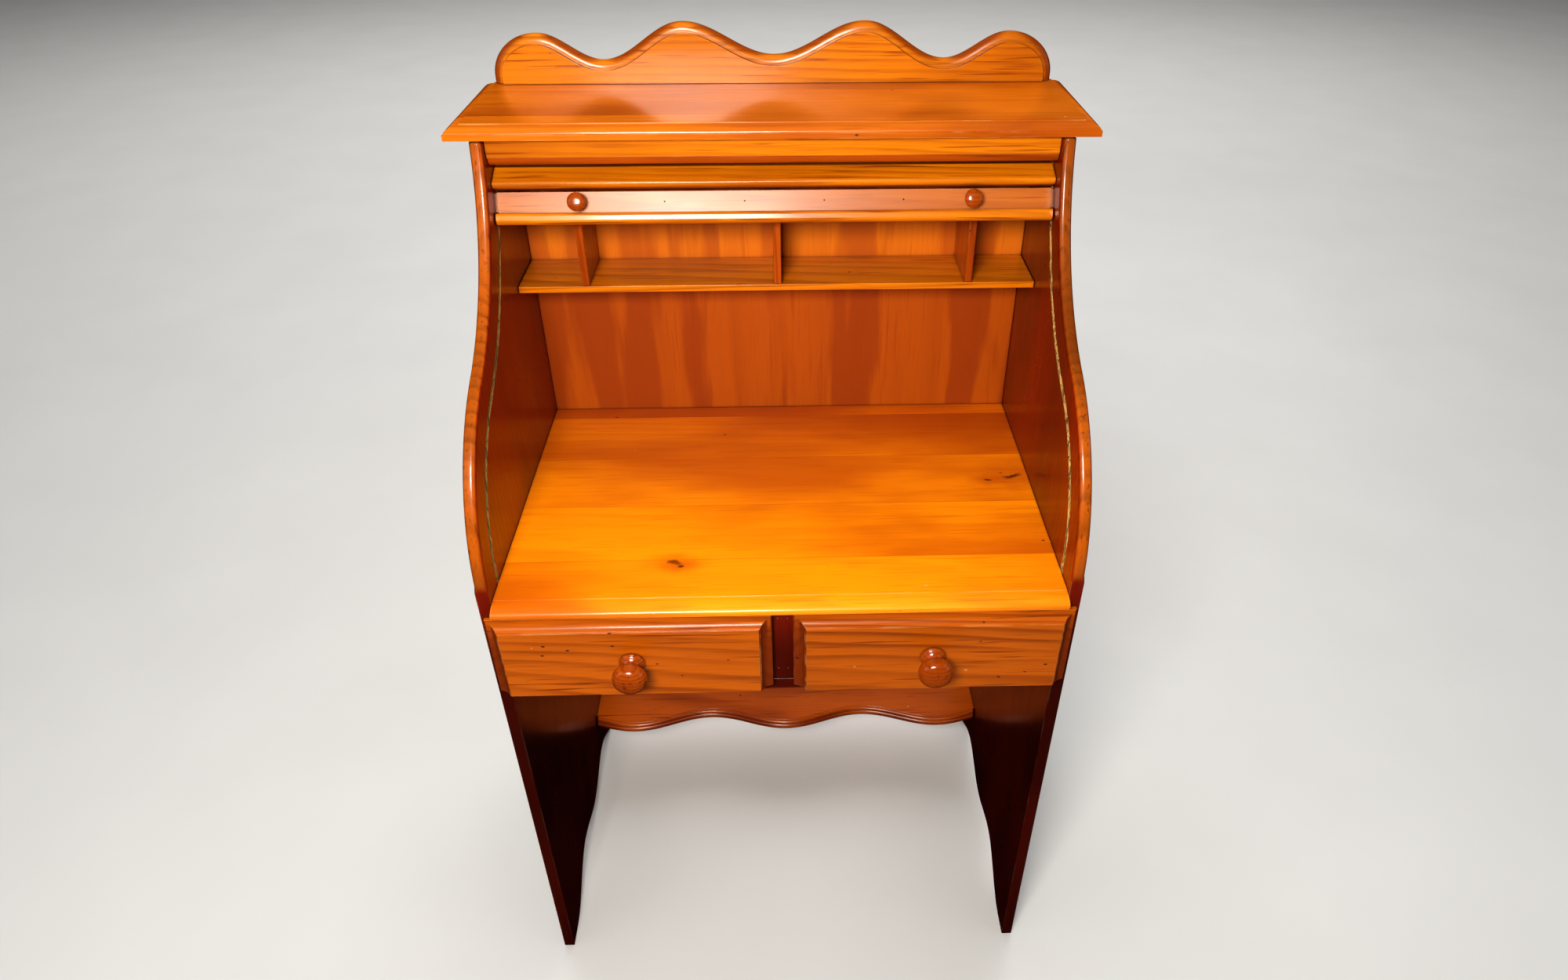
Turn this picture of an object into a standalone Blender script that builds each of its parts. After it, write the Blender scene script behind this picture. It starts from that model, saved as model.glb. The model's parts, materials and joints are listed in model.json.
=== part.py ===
"""Roll top desk: pine carcass, two drawers and a tambour that rolls down over the writing surface.

Metres, +Z up, front towards -Y, standing on Z = 0.  Design depths run back from the front edges of the
side panels; the datum empty moves them so that Y = 0 is the middle of the desk's whole depth.
Run with:  blender --background --python part.py
"""
import bpy
import bmesh
import math
from mathutils import Vector

# ---- driving dimensions -------------------------------------------------------------------------
GAP = 0.0003                 # clearance where one piece rests on another
WIDTH = 0.760                # over the two side panels
BOARD = 0.0165               # thickness of the pine boards
CARCASS_DEPTH = 0.535        # side panels, front to back
TOP_Z = 1.255                # underside of the top board
DESK_Z = 0.778               # writing surface, upper face

# S-shaped front edge of the side panels
LOWER_RADIUS = 0.252         # convex arc above the writing surface
LOWER_CENTRE_RISE = 0.013    # its centre above the writing surface
UPPER_RADIUS = 0.313         # concave arc under the top board
SHOULDER_DEPTH = 0.322       # how far back the front edge is when it meets the top board
EDGE_ROUND = 0.0065          # rounding of the S edge
ROUND_STOP_RISE = 0.028      # the rounding ends this far above the writing surface
ROUND_FADE = 0.014

# scalloped feet of the side panels
FOOT = 0.035                 # length of each foot
SCALLOP_HIGH = 0.056         # top of each arch
SCALLOP_LOW = 0.034          # bottom of the lobe between the arches
SCALLOP_HALF = 0.1025        # lobe centre to arch top

# tambour and its track
TRACK_INSET = 0.043          # track centre line behind the S edge
TRACK_WIDTH = 0.010
TRACK_DEPTH = 0.007
TRACK_STEP = 0.010           # length of the straight pieces that stand for the track's curves
BEND_WANTED = 0.080          # radius that the track turns back over the pigeonholes with, where there is room
TRACK_BACK_CLEAR = 0.020     # least distance from the rear run of the track to the outer back
OPEN_DROP = 0.0740           # the bend meets the S this far under the top board
TRACK_REAR_RISE = 0.022      # rear end of the track above the writing surface
SLAT_COUNT = 16
SLAT_PITCH = 0.032
SLAT_WIDTH = 0.0295
SLAT_BACK = 0.005            # wood behind the track centre line
SLAT_FACE = 0.006            # wood in front of it
SLAT_END_GAP = 0.0005
RAIL_WIDTH = 0.026
RAIL_SHOULDER = 0.0025       # rail shoulder to side panel
TONGUE_CLEAR = 0.0006        # rail tongue to the groove's walls and floor
LIP_WIDTH = 0.015
LIP_FACE = 0.0165
HOOD_FACE = 0.0195           # nose of the hood moulding over the rail
ROLL_TRAVEL = 0.192          # modelled travel of the lead rail along the track

# top, gallery and frieze
TOP_OVERHANG = 0.0290        # beyond each side panel
TOP_LIP = 0.005              # its front edge before the shoulders of the side panels
TOP_EDGE = 0.0075            # square part of the moulded edge
TOP_MOULD = 0.018
GALLERY_INSET = 0.021        # from each end of the top board
GALLERY_RIM = 0.011
FRIEZE_SETBACK = 0.009       # behind the shoulders of the side panels
FRIEZE_HEIGHT = 0.025
FRIEZE_BEAD_HEIGHT = 0.0107
FRIEZE_BEAD_SETBACK = 0.006

# writing compartment
NOSE = 0.014                 # writing surface in front of the side panels
PLY = 0.005
FALSE_BACK_LEAD = 0.0384     # in front of the rear run of the track
FALSE_BACK_HEIGHT = 0.387    # over the writing surface
OUTER_BACK_INSET = 0.0055    # its front face from the rear edges of the side panels
OUTER_BACK_DROP = 0.030      # its lower edge under the drawer fronts
SHELF_DEPTH = 0.096
SHELF_RISE = 0.2595          # its top over the writing surface
SHELF_THICK = 0.0095
DIVIDER = 0.0105
DIVIDER_HEIGHT = 0.0975
DIVIDER_X = 0.2685           # outer dividers from the middle

# drawers
DRAWER_HEIGHT = 0.127        # of the drawer fronts
DRAWER_HEAD_GAP = 0.0045     # over them, under the writing surface
DRAWER_REVEAL = 0.0045       # side panel left showing beside them
DRAWER_FRONT_INNER = 0.0135  # their inner edges from the middle
DRAWER_MOULD = 0.0145
BOX_WALL = 0.012
BOX_DEPTH = 0.400
BOX_RISE = 0.010             # drawer box above the lower edge of its front
BOX_HEIGHT = 0.102
BOX_SIDE_CLEAR = 0.0015
BOTTOM_PLY = 0.004
BOTTOM_RISE = 0.008          # drawer bottom above the lower edge of the box
KNOB_RISE = 0.059            # knob above the lower edge of its drawer front
DRAWER_TRAVEL = 0.280
MUNTIN_WIDTH = 0.040
MUNTIN_SETBACK = 0.006
RAIL_HEIGHT = 0.0180
RAIL_DEPTH = 0.055
RUNNER_WIDTH = 0.024
REAR_RAIL_INSET = 0.105      # its front face from the rear edges of the side panels

# lower shelf
LOW_SHELF_TOP = 0.142
LOW_SHELF_FRONT = 0.3645     # mean front edge
LOW_SHELF_WAVE = 0.0155
LOW_SHELF_HALF_WAVE = 0.144
LOW_SHELF_MOULD = 0.010

# knobs and screws
DRAWER_KNOB_RADIUS = 0.0224
DRAWER_KNOB_LENGTH = 0.042
TAMBOUR_KNOB_RADIUS = 0.0120
TAMBOUR_KNOB_LENGTH = 0.0225
TAMBOUR_KNOB_X = 0.2565
SCREW_RADIUS = 0.0019
SCREW_HEAD = 0.0040
SCREW_HEAD_HEIGHT = 0.0024
HOLE_CLEAR = 0.0004

# ---- derived places -----------------------------------------------------------------------------
INNER = WIDTH / 2 - BOARD                       # inner face of a side panel, from the middle
DESK_UNDER = DESK_Z - BOARD
LOWER_CENTRE_Z = DESK_Z + LOWER_CENTRE_RISE
ROUND_STOP_Z = DESK_Z + ROUND_STOP_RISE
TRACK_REAR_Z = DESK_Z + TRACK_REAR_RISE
TOP_FRONT = SHOULDER_DEPTH - TOP_LIP
FRIEZE_FRONT = SHOULDER_DEPTH + FRIEZE_SETBACK
GALLERY_FRONT = CARCASS_DEPTH - BOARD
OUTER_BACK_Y = CARCASS_DEPTH - OUTER_BACK_INSET
FALSE_BACK_TOP = DESK_Z + FALSE_BACK_HEIGHT
SHELF_TOP = DESK_Z + SHELF_RISE
DIVIDER_TOP = SHELF_TOP + DIVIDER_HEIGHT
DRAWER_TOP = DESK_UNDER - DRAWER_HEAD_GAP
DRAWER_BOTTOM = DRAWER_TOP - DRAWER_HEIGHT
DRAWER_FRONT_OUTER = WIDTH / 2 - DRAWER_REVEAL
BOX_BOTTOM = DRAWER_BOTTOM + BOX_RISE
BOX_TOP = BOX_BOTTOM + BOX_HEIGHT
KNOB_Z = DRAWER_BOTTOM + KNOB_RISE
OUTER_BACK_BOTTOM = DRAWER_BOTTOM - OUTER_BACK_DROP
REAR_RAIL_Y = CARCASS_DEPTH - REAR_RAIL_INSET
KNOB_X = (DRAWER_FRONT_OUTER + DRAWER_FRONT_INNER) / 2
FOREMOST = -(BOARD + GAP + DRAWER_KNOB_LENGTH + GAP)
Y_MIDDLE = (FOREMOST + CARCASS_DEPTH) / 2
TOP_BOARD_Z = TOP_Z + GAP
TOP_BOARD_TOP = TOP_BOARD_Z + BOARD


# ---- materials ----------------------------------------------------------------------------------
def material(name, colour, roughness, metallic=0.0):
    """A Principled material."""
    mat = bpy.data.materials.new(name)
    mat.use_nodes = True
    shader = mat.node_tree.nodes["Principled BSDF"]
    shader.inputs["Base Color"].default_value = (*colour, 1.0)
    shader.inputs["Roughness"].default_value = roughness
    shader.inputs["Metallic"].default_value = metallic
    mat.diffuse_color = (*colour, 1.0)
    return mat


# ---- mesh helpers -------------------------------------------------------------------------------
def finish(name, bm, mat, parent, smooth=False):
    """Turn a bmesh into a named object with outward faces."""
    bmesh.ops.recalc_face_normals(bm, faces=bm.faces)
    mesh = bpy.data.meshes.new(name)
    bm.to_mesh(mesh)
    bm.free()
    mesh.materials.append(mat)
    if smooth:
        mesh.shade_smooth()
        mesh.set_sharp_from_angle(angle=math.radians(35))
    obj = bpy.data.objects.new(name, mesh)
    bpy.context.scene.collection.objects.link(obj)
    obj.parent = parent
    return obj


def loft(name, rings, mat, parent, smooth=False):
    """A solid through closed rings of points, capped at both ends."""
    bm = bmesh.new()
    loops = [[bm.verts.new(p) for p in ring] for ring in rings]
    count = len(loops[0])
    for lower, upper in zip(loops, loops[1:]):
        for i in range(count):
            j = (i + 1) % count
            bm.faces.new((lower[i], lower[j], upper[j], upper[i]))
    bm.faces.new(loops[0])
    bm.faces.new(loops[-1])
    return finish(name, bm, mat, parent, smooth)


def prism_x(name, outline, x0, x1, mat, parent):
    """An outline of (y, z) points run from x0 to x1."""
    return loft(name, [[(x, y, z) for y, z in outline] for x in (x0, x1)], mat, parent)


def prism_z(name, outline, z0, z1, mat, parent):
    """An outline of (x, y) points run from z0 to z1."""
    return loft(name, [[(x, y, z) for x, y in outline] for z in (z0, z1)], mat, parent)


def block(name, x, y, z, mat, parent):
    """A board between pairs of x, y and z."""
    return prism_z(name, [(x[0], y[0]), (x[1], y[0]), (x[1], y[1]), (x[0], y[1])], z[0], z[1], mat, parent)


def turned(name, profile, mat, parent, sides=20):
    """A solid of revolution about local Z from (radius, height) points; the ends close on the axis."""
    bm = bmesh.new()
    loops = []
    for radius, height in profile:
        if radius < 1e-6:
            loops.append([bm.verts.new((0, 0, height))])
            continue
        turn = [2 * math.pi * i / sides for i in range(sides)]
        loops.append([bm.verts.new((radius * math.cos(a), radius * math.sin(a), height)) for a in turn])
    for lower, upper in zip(loops, loops[1:]):
        for i in range(sides):
            j = (i + 1) % sides
            if len(lower) == 1:
                bm.faces.new((lower[0], upper[j], upper[i]))
            elif len(upper) == 1:
                bm.faces.new((lower[i], lower[j], upper[0]))
            else:
                bm.faces.new((lower[i], lower[j], upper[j], upper[i]))
    return finish(name, bm, mat, parent, smooth=True)


def empty(name, place, parent=None):
    """A bare frame to hang pieces on."""
    obj = bpy.data.objects.new(name, None)
    bpy.context.scene.collection.objects.link(obj)
    obj.location = place
    obj.parent = parent
    return obj


def cut(obj, cutter):
    """Take a hidden cutter out of a piece."""
    cutter.hide_render = True
    cutter.display_type = "WIRE"
    boolean = obj.modifiers.new("cut_" + cutter.name, "BOOLEAN")
    boolean.operation = "DIFFERENCE"
    boolean.object = cutter


def lerp(a, b, t):
    """Straight interpolation."""
    return a + (b - a) * t


def swing(a, b, t):
    """Half a cosine wave from a to b."""
    return lerp(a, b, (1 - math.cos(math.pi * t)) / 2)


# ---- S edge and track ---------------------------------------------------------------------------
def upper_centre():
    """Centre of the concave arc: it touches the lower arc and passes the shoulder point."""
    c1 = Vector((LOWER_RADIUS, LOWER_CENTRE_Z))
    top = Vector((SHOULDER_DEPTH, TOP_Z))
    reach = LOWER_RADIUS + UPPER_RADIUS
    span = (top - c1).length
    along = (reach ** 2 - UPPER_RADIUS ** 2 + span ** 2) / (2 * span)
    aside = math.sqrt(reach ** 2 - along ** 2)
    unit = (top - c1).normalized()
    return c1 + unit * along + Vector((-unit.y, unit.x)) * aside


LOWER_CENTRE = Vector((LOWER_RADIUS, LOWER_CENTRE_Z))
UPPER_CENTRE = upper_centre()
TO_UPPER = (UPPER_CENTRE - LOWER_CENTRE).normalized()
TURN_ANGLE = math.atan2(-TO_UPPER.x, TO_UPPER.y)    # slope of the S where its two arcs meet
SHOULDER_ANGLE = math.atan2(SHOULDER_DEPTH - UPPER_CENTRE.x, UPPER_CENTRE.y - TOP_Z)


def outward(slope):
    """Unit normal on the room side of a line that rises towards the back at this slope."""
    return Vector((-math.sin(slope), math.cos(slope)))


def s_edge(step=math.radians(4)):
    """Points of the S edge with their outward normals, from the top board down to the square edge."""
    points = []
    count = math.ceil((SHOULDER_ANGLE - TURN_ANGLE) / step)
    for i in range(count):
        slope = lerp(SHOULDER_ANGLE, TURN_ANGLE, i / count)
        points.append((UPPER_CENTRE - outward(slope) * UPPER_RADIUS, outward(slope)))
    count = math.ceil((math.pi / 2 - TURN_ANGLE) / step)
    for i in range(count + 1):
        slope = lerp(TURN_ANGLE, math.pi / 2, i / count)
        points.append((LOWER_CENTRE + outward(slope) * LOWER_RADIUS, outward(slope)))
    return points


TRACK_UPPER = UPPER_RADIUS + TRACK_INSET
TRACK_LOWER = LOWER_RADIUS - TRACK_INSET
OPEN_ANGLE = math.acos((UPPER_CENTRE.y - TOP_Z + OPEN_DROP) / TRACK_UPPER)   # slope where the bend starts
BEND_ROOM = OUTER_BACK_Y - TRACK_BACK_CLEAR - UPPER_CENTRE.x - TRACK_UPPER * math.sin(OPEN_ANGLE)
BEND_RADIUS = min(BEND_WANTED, BEND_ROOM / (1 + math.sin(OPEN_ANGLE)))
BEND_CENTRE = UPPER_CENTRE - outward(OPEN_ANGLE) * (TRACK_UPPER + BEND_RADIUS)
BEND_LENGTH = BEND_RADIUS * (OPEN_ANGLE + math.pi / 2)
CONCAVE_LENGTH = TRACK_UPPER * (OPEN_ANGLE - TURN_ANGLE)
REAR_Y = BEND_CENTRE.x + BEND_RADIUS
FALSE_BACK_Y = REAR_Y - FALSE_BACK_LEAD
SHELF_FRONT = FALSE_BACK_Y - SHELF_DEPTH


def track(s):
    """Point and slope of the track, s metres in front of the end of the bend."""
    if s < -BEND_LENGTH:
        return Vector((REAR_Y, BEND_CENTRE.y + s + BEND_LENGTH)), -math.pi / 2
    if s < 0:
        slope = OPEN_ANGLE + s / BEND_RADIUS
        return BEND_CENTRE + outward(slope) * BEND_RADIUS, slope
    if s < CONCAVE_LENGTH:
        slope = OPEN_ANGLE - s / TRACK_UPPER
        return UPPER_CENTRE - outward(slope) * TRACK_UPPER, slope
    slope = min(TURN_ANGLE + (s - CONCAVE_LENGTH) / TRACK_LOWER, math.pi / 2)
    return LOWER_CENTRE + outward(slope) * TRACK_LOWER, slope


# ---- side panels --------------------------------------------------------------------------------
def scallop(step=10):
    """Lower edge of a side panel between its feet, from the front foot to the rear one."""
    middle = CARCASS_DEPTH / 2
    marks = [(FOOT, 0.0), (middle - SCALLOP_HALF, SCALLOP_HIGH), (middle, SCALLOP_LOW)]
    marks += [(CARCASS_DEPTH - y, z) for y, z in reversed(marks[:2])]
    points = []
    for (y0, z0), (y1, z1) in zip(marks, marks[1:]):
        points += [(lerp(y0, y1, i / step), swing(z0, z1, i / step)) for i in range(step)]
    return points + [marks[-1]]


def panel_outline(shift):
    """Outline of a side panel with its S edge moved back by shift where it is rounded."""
    outline = []
    for point, normal in s_edge():
        keep = min(max((point.y - ROUND_STOP_Z) / ROUND_FADE + 1, 0), 1)
        moved = point - normal * shift * keep
        outline.append((moved.x, min(moved.y, TOP_Z)))
    outline.append((0.0, 0.0))
    outline += scallop()
    outline += [(CARCASS_DEPTH, 0.0), (CARCASS_DEPTH, TOP_Z)]
    return outline


def groove_outline():
    """Outline of the track's groove."""
    end_s = CONCAVE_LENGTH + TRACK_LOWER * (math.pi / 2 - TURN_ANGLE)
    start_s = -BEND_LENGTH - (BEND_CENTRE.y - TRACK_REAR_Z)
    marks = [start_s]
    for a, b in ((-BEND_LENGTH, 0.0), (0.0, CONCAVE_LENGTH), (CONCAVE_LENGTH, end_s)):
        count = math.ceil((b - a) / TRACK_STEP)
        marks += [lerp(a, b, i / count) for i in range(count)]
    marks.append(end_s)
    run = [track(s) for s in marks]
    run.append((Vector((TRACK_INSET, DESK_Z + GAP)), math.pi / 2))
    half = TRACK_WIDTH / 2
    front = [tuple(p + outward(a) * half) for p, a in run]
    back = [tuple(p - outward(a) * half) for p, a in run]
    return front + back[::-1]


def side_panel(name, side, mat, parent):
    """One side panel; side is -1 on the left and 1 on the right."""
    mould = [(EDGE_ROUND * (1 - math.cos(a)), EDGE_ROUND * (1 - math.sin(a)))
             for a in (0, math.pi / 6, math.pi / 3, math.pi / 2)]
    stations = mould + [(BOARD - x, shift) for x, shift in reversed(mould)]
    rings = []
    for x, shift in stations:
        rings.append([(side * (INNER + x), y, z) for y, z in panel_outline(shift)])
    panel = loft(name, rings, mat, parent)
    ends = (side * (INNER - TRACK_DEPTH), side * (INNER + TRACK_DEPTH))
    cut(panel, prism_x(name + "_groove_cutter", groove_outline(), *ends, mat, parent))
    return panel


# ---- top ----------------------------------------------------------------------------------------
def moulded_top(name, mat, parent):
    """Top board with a stepped quarter-round on its front and ends."""
    half = WIDTH / 2 + TOP_OVERHANG
    rise = BOARD - TOP_EDGE
    steps = [(0.0, 0.0), (0.0, TOP_EDGE), (0.0015, TOP_EDGE + 0.0012)]
    for i in range(1, 6):
        turn = math.pi / 2 * i / 5
        inset = lerp(0.0015, TOP_MOULD, 1 - math.cos(turn))
        steps.append((inset, TOP_EDGE + 0.0012 + (rise - 0.0012) * math.sin(turn)))
    rings = []
    for inset, height in steps:
        x = half - inset
        front = TOP_FRONT + inset
        z = TOP_BOARD_Z + height
        rings.append([(-x, front, z), (x, front, z), (x, CARCASS_DEPTH, z), (-x, CARCASS_DEPTH, z)])
    return loft(name, rings, mat, parent)


def gallery_outline(inset):
    """Scrolled outline of the gallery board, in (x, z), drawn in by inset along its curved edge."""
    low = TOP_BOARD_TOP + GAP
    half = WIDTH / 2 + TOP_OVERHANG - GALLERY_INSET
    marks = [(0.0, 0.0350), (0.322 * half, 0.0780), (0.608 * half, 0.0292), (0.835 * half, 0.0640)]
    curve = []
    for (x0, h0), (x1, h1) in zip(marks, marks[1:]):
        curve += [(lerp(x0, x1, i / 8), swing(h0, h1, i / 8)) for i in range(8)]
    ear_x, ear_h = marks[-1]
    spring = 0.008
    for i in range(9):
        turn = math.pi / 2 * i / 8
        curve.append((ear_x + (half - ear_x) * math.sin(turn), spring + (ear_h - spring) * math.cos(turn)))
    moved = []
    for i, (x, h) in enumerate(curve):
        before = curve[i - 1] if i else (-curve[1][0], curve[1][1])
        after = curve[i + 1] if i + 1 < len(curve) else (x, h - 0.01)
        along = Vector((after[0] - before[0], after[1] - before[1])).normalized()
        moved.append((x + along.y * inset, h - along.x * inset))
    right = [(x, low + h) for x, h in moved]
    left = [(-x, z) for x, z in right[1:]]
    foot = right[-1][0]
    return left[::-1] + right + [(foot, low), (-foot, low)]


def gallery(name, mat, parent):
    """Gallery board with a rounded rim and a step along its curved edge."""
    stations = [(0.0, GALLERY_RIM), (0.0028, GALLERY_RIM), (0.0034, GALLERY_RIM - 0.0016),
                (0.0048, 0.0030), (0.0075, 0.0006), (0.0105, 0.0), (BOARD, 0.0)]
    rings = []
    for back, inset in stations:
        y = GALLERY_FRONT + back
        rings.append([(x, y, z) for x, z in gallery_outline(inset)])
    return loft(name, rings, mat, parent)


# ---- writing compartment ------------------------------------------------------------------------
def nosed_board(name, mat, parent):
    """Writing surface with a round nose and a cove under it."""
    top, under = DESK_Z, DESK_UNDER
    profile = [(OUTER_BACK_Y - GAP, under), (OUTER_BACK_Y - GAP, top), (0.008, top)]
    nose_r = 0.0075
    for i in range(7):
        turn = math.pi / 2 * i / 6
        profile.append((-0.0065 - nose_r * math.sin(turn), top - 0.0035 - nose_r * (1 - math.cos(turn))))
    profile += [(-NOSE, under + 0.0035), (-NOSE + 0.0030, under)]
    return prism_x(name, profile, -(INNER - GAP), INNER - GAP, mat, parent)


def low_shelf(name, mat, parent):
    """Lower shelf with a waved, moulded front edge."""
    half = INNER - GAP
    columns = 48
    xs = [lerp(-half, half, i / columns) for i in range(columns + 1)]
    steps = [(0.0035, 0.0), (0.0, 0.0040), (0.0, 0.0085), (0.0030, 0.0112), (0.0032, 0.0128),
             (LOW_SHELF_MOULD, BOARD)]
    rings = []
    for inset, height in steps:
        z = LOW_SHELF_TOP - BOARD + height
        edge = [LOW_SHELF_FRONT - LOW_SHELF_WAVE * math.cos(math.pi * x / LOW_SHELF_HALF_WAVE) + inset
                for x in xs]
        front = [(x, y, z) for x, y in zip(xs, edge)]
        rings.append(front + [(half, CARCASS_DEPTH - PLY, z), (-half, CARCASS_DEPTH - PLY, z)])
    return loft(name, rings, mat, parent)


# ---- drawers ------------------------------------------------------------------------------------
def knob_profile(radius, length):
    """Mushroom knob on a ring foot, with a blind screw hole up its middle."""
    hole = SCREW_RADIUS + HOLE_CLEAR
    deep = length * 0.45
    points = [(0.0, deep), (hole, deep), (hole, 0.0), (0.70 * radius, 0.0), (0.74 * radius, 0.03 * length),
              (0.74 * radius, 0.09 * length), (0.66 * radius, 0.14 * length), (0.50 * radius, 0.20 * length),
              (0.45 * radius, 0.30 * length), (0.50 * radius, 0.40 * length), (0.80 * radius, 0.50 * length)]
    for i in range(6):
        turn = math.pi / 2 * i / 6
        points.append((radius * math.cos(turn), length * (0.66 + 0.34 * math.sin(turn))))
    points[-6] = (radius, 0.64 * length)
    return points + [(0.0, length)]


def screw_profile(grip):
    """Wood screw: head behind the board, shank through it and on into the knob."""
    return [(0.0, -SCREW_HEAD_HEIGHT), (SCREW_HEAD * 0.8, -SCREW_HEAD_HEIGHT), (SCREW_HEAD, 0.0),
            (SCREW_RADIUS, 0.0), (SCREW_RADIUS, grip), (0.0, grip + 0.002)]


def facing_front(obj):
    """Turn a piece made along +Z so that it points at the room."""
    obj.rotation_euler = (math.radians(90), 0, 0)


def drawer(side, wood, box_wood, ply, knob_wood, steel, datum):
    """One drawer; side is -1 on the left and 1 on the right."""
    word = "left" if side < 0 else "right"
    frame = empty(f"drawer_{word}_slide", (0, 0, 0), datum)
    outer_x, inner_x = DRAWER_FRONT_OUTER, DRAWER_FRONT_INNER
    back_y = -GAP

    steps = [(0.0, 0.0), (0.0, 0.0045), (0.0012, 0.0062), (0.0040, 0.0070), (0.0075, 0.0085),
             (0.0105, 0.0120), (0.0125, 0.0148), (DRAWER_MOULD, BOARD)]
    rings = []
    for inset, forward in steps:
        a, b = side * (inner_x + inset), side * (outer_x - inset)
        y = back_y - forward
        top = DRAWER_TOP - inset
        rings.append([(a, y, DRAWER_BOTTOM), (b, y, DRAWER_BOTTOM), (b, y, top), (a, y, top)])
    front = loft(f"drawer_{word}_front", rings, wood, frame)
    hole = turned(f"drawer_{word}_front_hole_cutter",
                  [(0, -0.01), (SCREW_RADIUS + HOLE_CLEAR, -0.01), (SCREW_RADIUS + HOLE_CLEAR, 0.03), (0, 0.03)],
                  wood, frame, sides=12)
    hole.location = (side * KNOB_X, 0, KNOB_Z)
    facing_front(hole)
    cut(front, hole)

    wall_in = MUNTIN_WIDTH / 2 + BOX_SIDE_CLEAR
    wall_out = INNER - BOX_SIDE_CLEAR
    span_z = (BOX_BOTTOM, BOX_TOP)
    depth = (0.0, BOX_DEPTH)
    slot_z = (BOX_BOTTOM + BOTTOM_RISE, BOX_BOTTOM + BOTTOM_RISE + BOTTOM_PLY)
    for place, x in (("inner", wall_in), ("outer", wall_out - BOX_WALL)):
        xs = sorted((side * x, side * (x + BOX_WALL)))
        wall = block(f"drawer_{word}_side_{place}", xs, depth, span_z, box_wood, frame)
        inside = side * (x + BOX_WALL) if place == "inner" else side * x
        slot = block(f"drawer_{word}_slot_{place}_cutter", (inside - 0.005, inside + 0.005),
                     (-0.01, BOX_DEPTH + 0.01), (slot_z[0] - GAP, slot_z[1] + GAP), box_wood, frame)
        cut(wall, slot)
    clear = sorted((side * (wall_in + BOX_WALL + GAP), side * (wall_out - BOX_WALL - GAP)))
    block(f"drawer_{word}_back", clear, (BOX_DEPTH - BOX_WALL, BOX_DEPTH),
          (slot_z[1] + GAP, BOX_TOP - 0.006), box_wood, frame)
    let_in = 0.0045
    bottom_x = (clear[0] - let_in, clear[1] + let_in)
    block(f"drawer_{word}_bottom", bottom_x, (GAP, BOX_DEPTH), slot_z, ply, frame)

    knob = turned(f"drawer_{word}_knob", knob_profile(DRAWER_KNOB_RADIUS, DRAWER_KNOB_LENGTH), knob_wood, frame, 24)
    knob.location = (side * KNOB_X, back_y - BOARD - GAP, KNOB_Z)
    facing_front(knob)
    screw = turned(f"drawer_{word}_knob_screw", screw_profile(BOARD + 0.012), steel, frame, sides=12)
    screw.location = (side * KNOB_X, 0.0, KNOB_Z)
    facing_front(screw)


# ---- tambour ------------------------------------------------------------------------------------
def slat_profile():
    """Section of a slat as (along, out) points; along runs down the track and out to the room."""
    half = SLAT_WIDTH / 2
    return [(-half + 0.0015, -SLAT_BACK), (half - 0.0015, -SLAT_BACK), (half, -SLAT_BACK + 0.004),
            (half, 0.0015), (half - 0.0020, SLAT_FACE - 0.0012), (half - 0.0055, SLAT_FACE),
            (-half + 0.0055, SLAT_FACE), (-half + 0.0020, SLAT_FACE - 0.0012), (-half, 0.0015),
            (-half, -SLAT_BACK + 0.004)]


def hood_profile():
    """Section of the hood moulding over the lead rail: thin above, with a round nose below."""
    half = SLAT_WIDTH / 2
    return [(-half + 0.0015, -SLAT_BACK), (half - 0.0015, -SLAT_BACK), (half, -SLAT_BACK + 0.004),
            (half, HOOD_FACE - 0.0060), (half - 0.0008, HOOD_FACE - 0.0025), (half - 0.0035, HOOD_FACE),
            (half - 0.0070, HOOD_FACE - 0.0012), (-half + 0.0025, SLAT_FACE - 0.0005),
            (-half, SLAT_FACE - 0.0030), (-half, -SLAT_BACK + 0.004)]


def lip_profile():
    """Section of the finger lip under the lead rail, measured from the rail's middle."""
    a = RAIL_WIDTH / 2 + GAP
    b = a + LIP_WIDTH
    return [(a, -SLAT_BACK), (b - 0.0020, -SLAT_BACK), (b, -SLAT_BACK + 0.003), (b, LIP_FACE - 0.0060),
            (b - 0.0016, LIP_FACE - 0.0022), (b - 0.0050, LIP_FACE), (a + 0.0045, LIP_FACE - 0.0006),
            (a + 0.0012, LIP_FACE - 0.0026), (a, LIP_FACE - 0.0060)]


def on_track(name, profile, half_width, place, mat, parent, pivot):
    """A length of moulding laid across the desk at a place on the track."""
    centre, slope = place
    down = Vector((-math.cos(slope), -math.sin(slope)))
    out = outward(slope)
    outline = [centre + down * a + out * b - pivot for a, b in profile]
    return prism_x(name, [tuple(p) for p in outline], -half_width, half_width, mat, parent)


def pole(start, end):
    """Centre and angle of the single turn that carries one place on the track to another."""
    angle = end[1] - start[1]
    if abs(angle) < 1e-9:
        return None, 0.0
    middle = (start[0] + end[0]) / 2
    chord = end[0] - start[0]
    aside = Vector((-chord.y, chord.x)) / (2 * math.tan(angle / 2))
    return middle + aside, angle


def rail_knob(word, knob_wood, steel, frame, place):
    """Knob and screw on the lead rail; word says which end."""
    side = -1 if word == "left" else 1
    centre, slope = place
    out = outward(slope)
    for kind, profile, depth, mat, sides in (
            ("knob", knob_profile(TAMBOUR_KNOB_RADIUS, TAMBOUR_KNOB_LENGTH), SLAT_FACE + GAP, knob_wood, 20),
            ("knob_screw", screw_profile(SLAT_BACK + SLAT_FACE + 0.006), -SLAT_BACK - GAP, steel, 12)):
        piece = turned(f"tambour_{kind}_{word}", profile, mat, frame, sides)
        at = centre + out * depth - UPPER_CENTRE
        piece.location = (side * TAMBOUR_KNOB_X, at.x, at.y)
        piece.rotation_euler = (slope, 0, 0)


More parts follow.
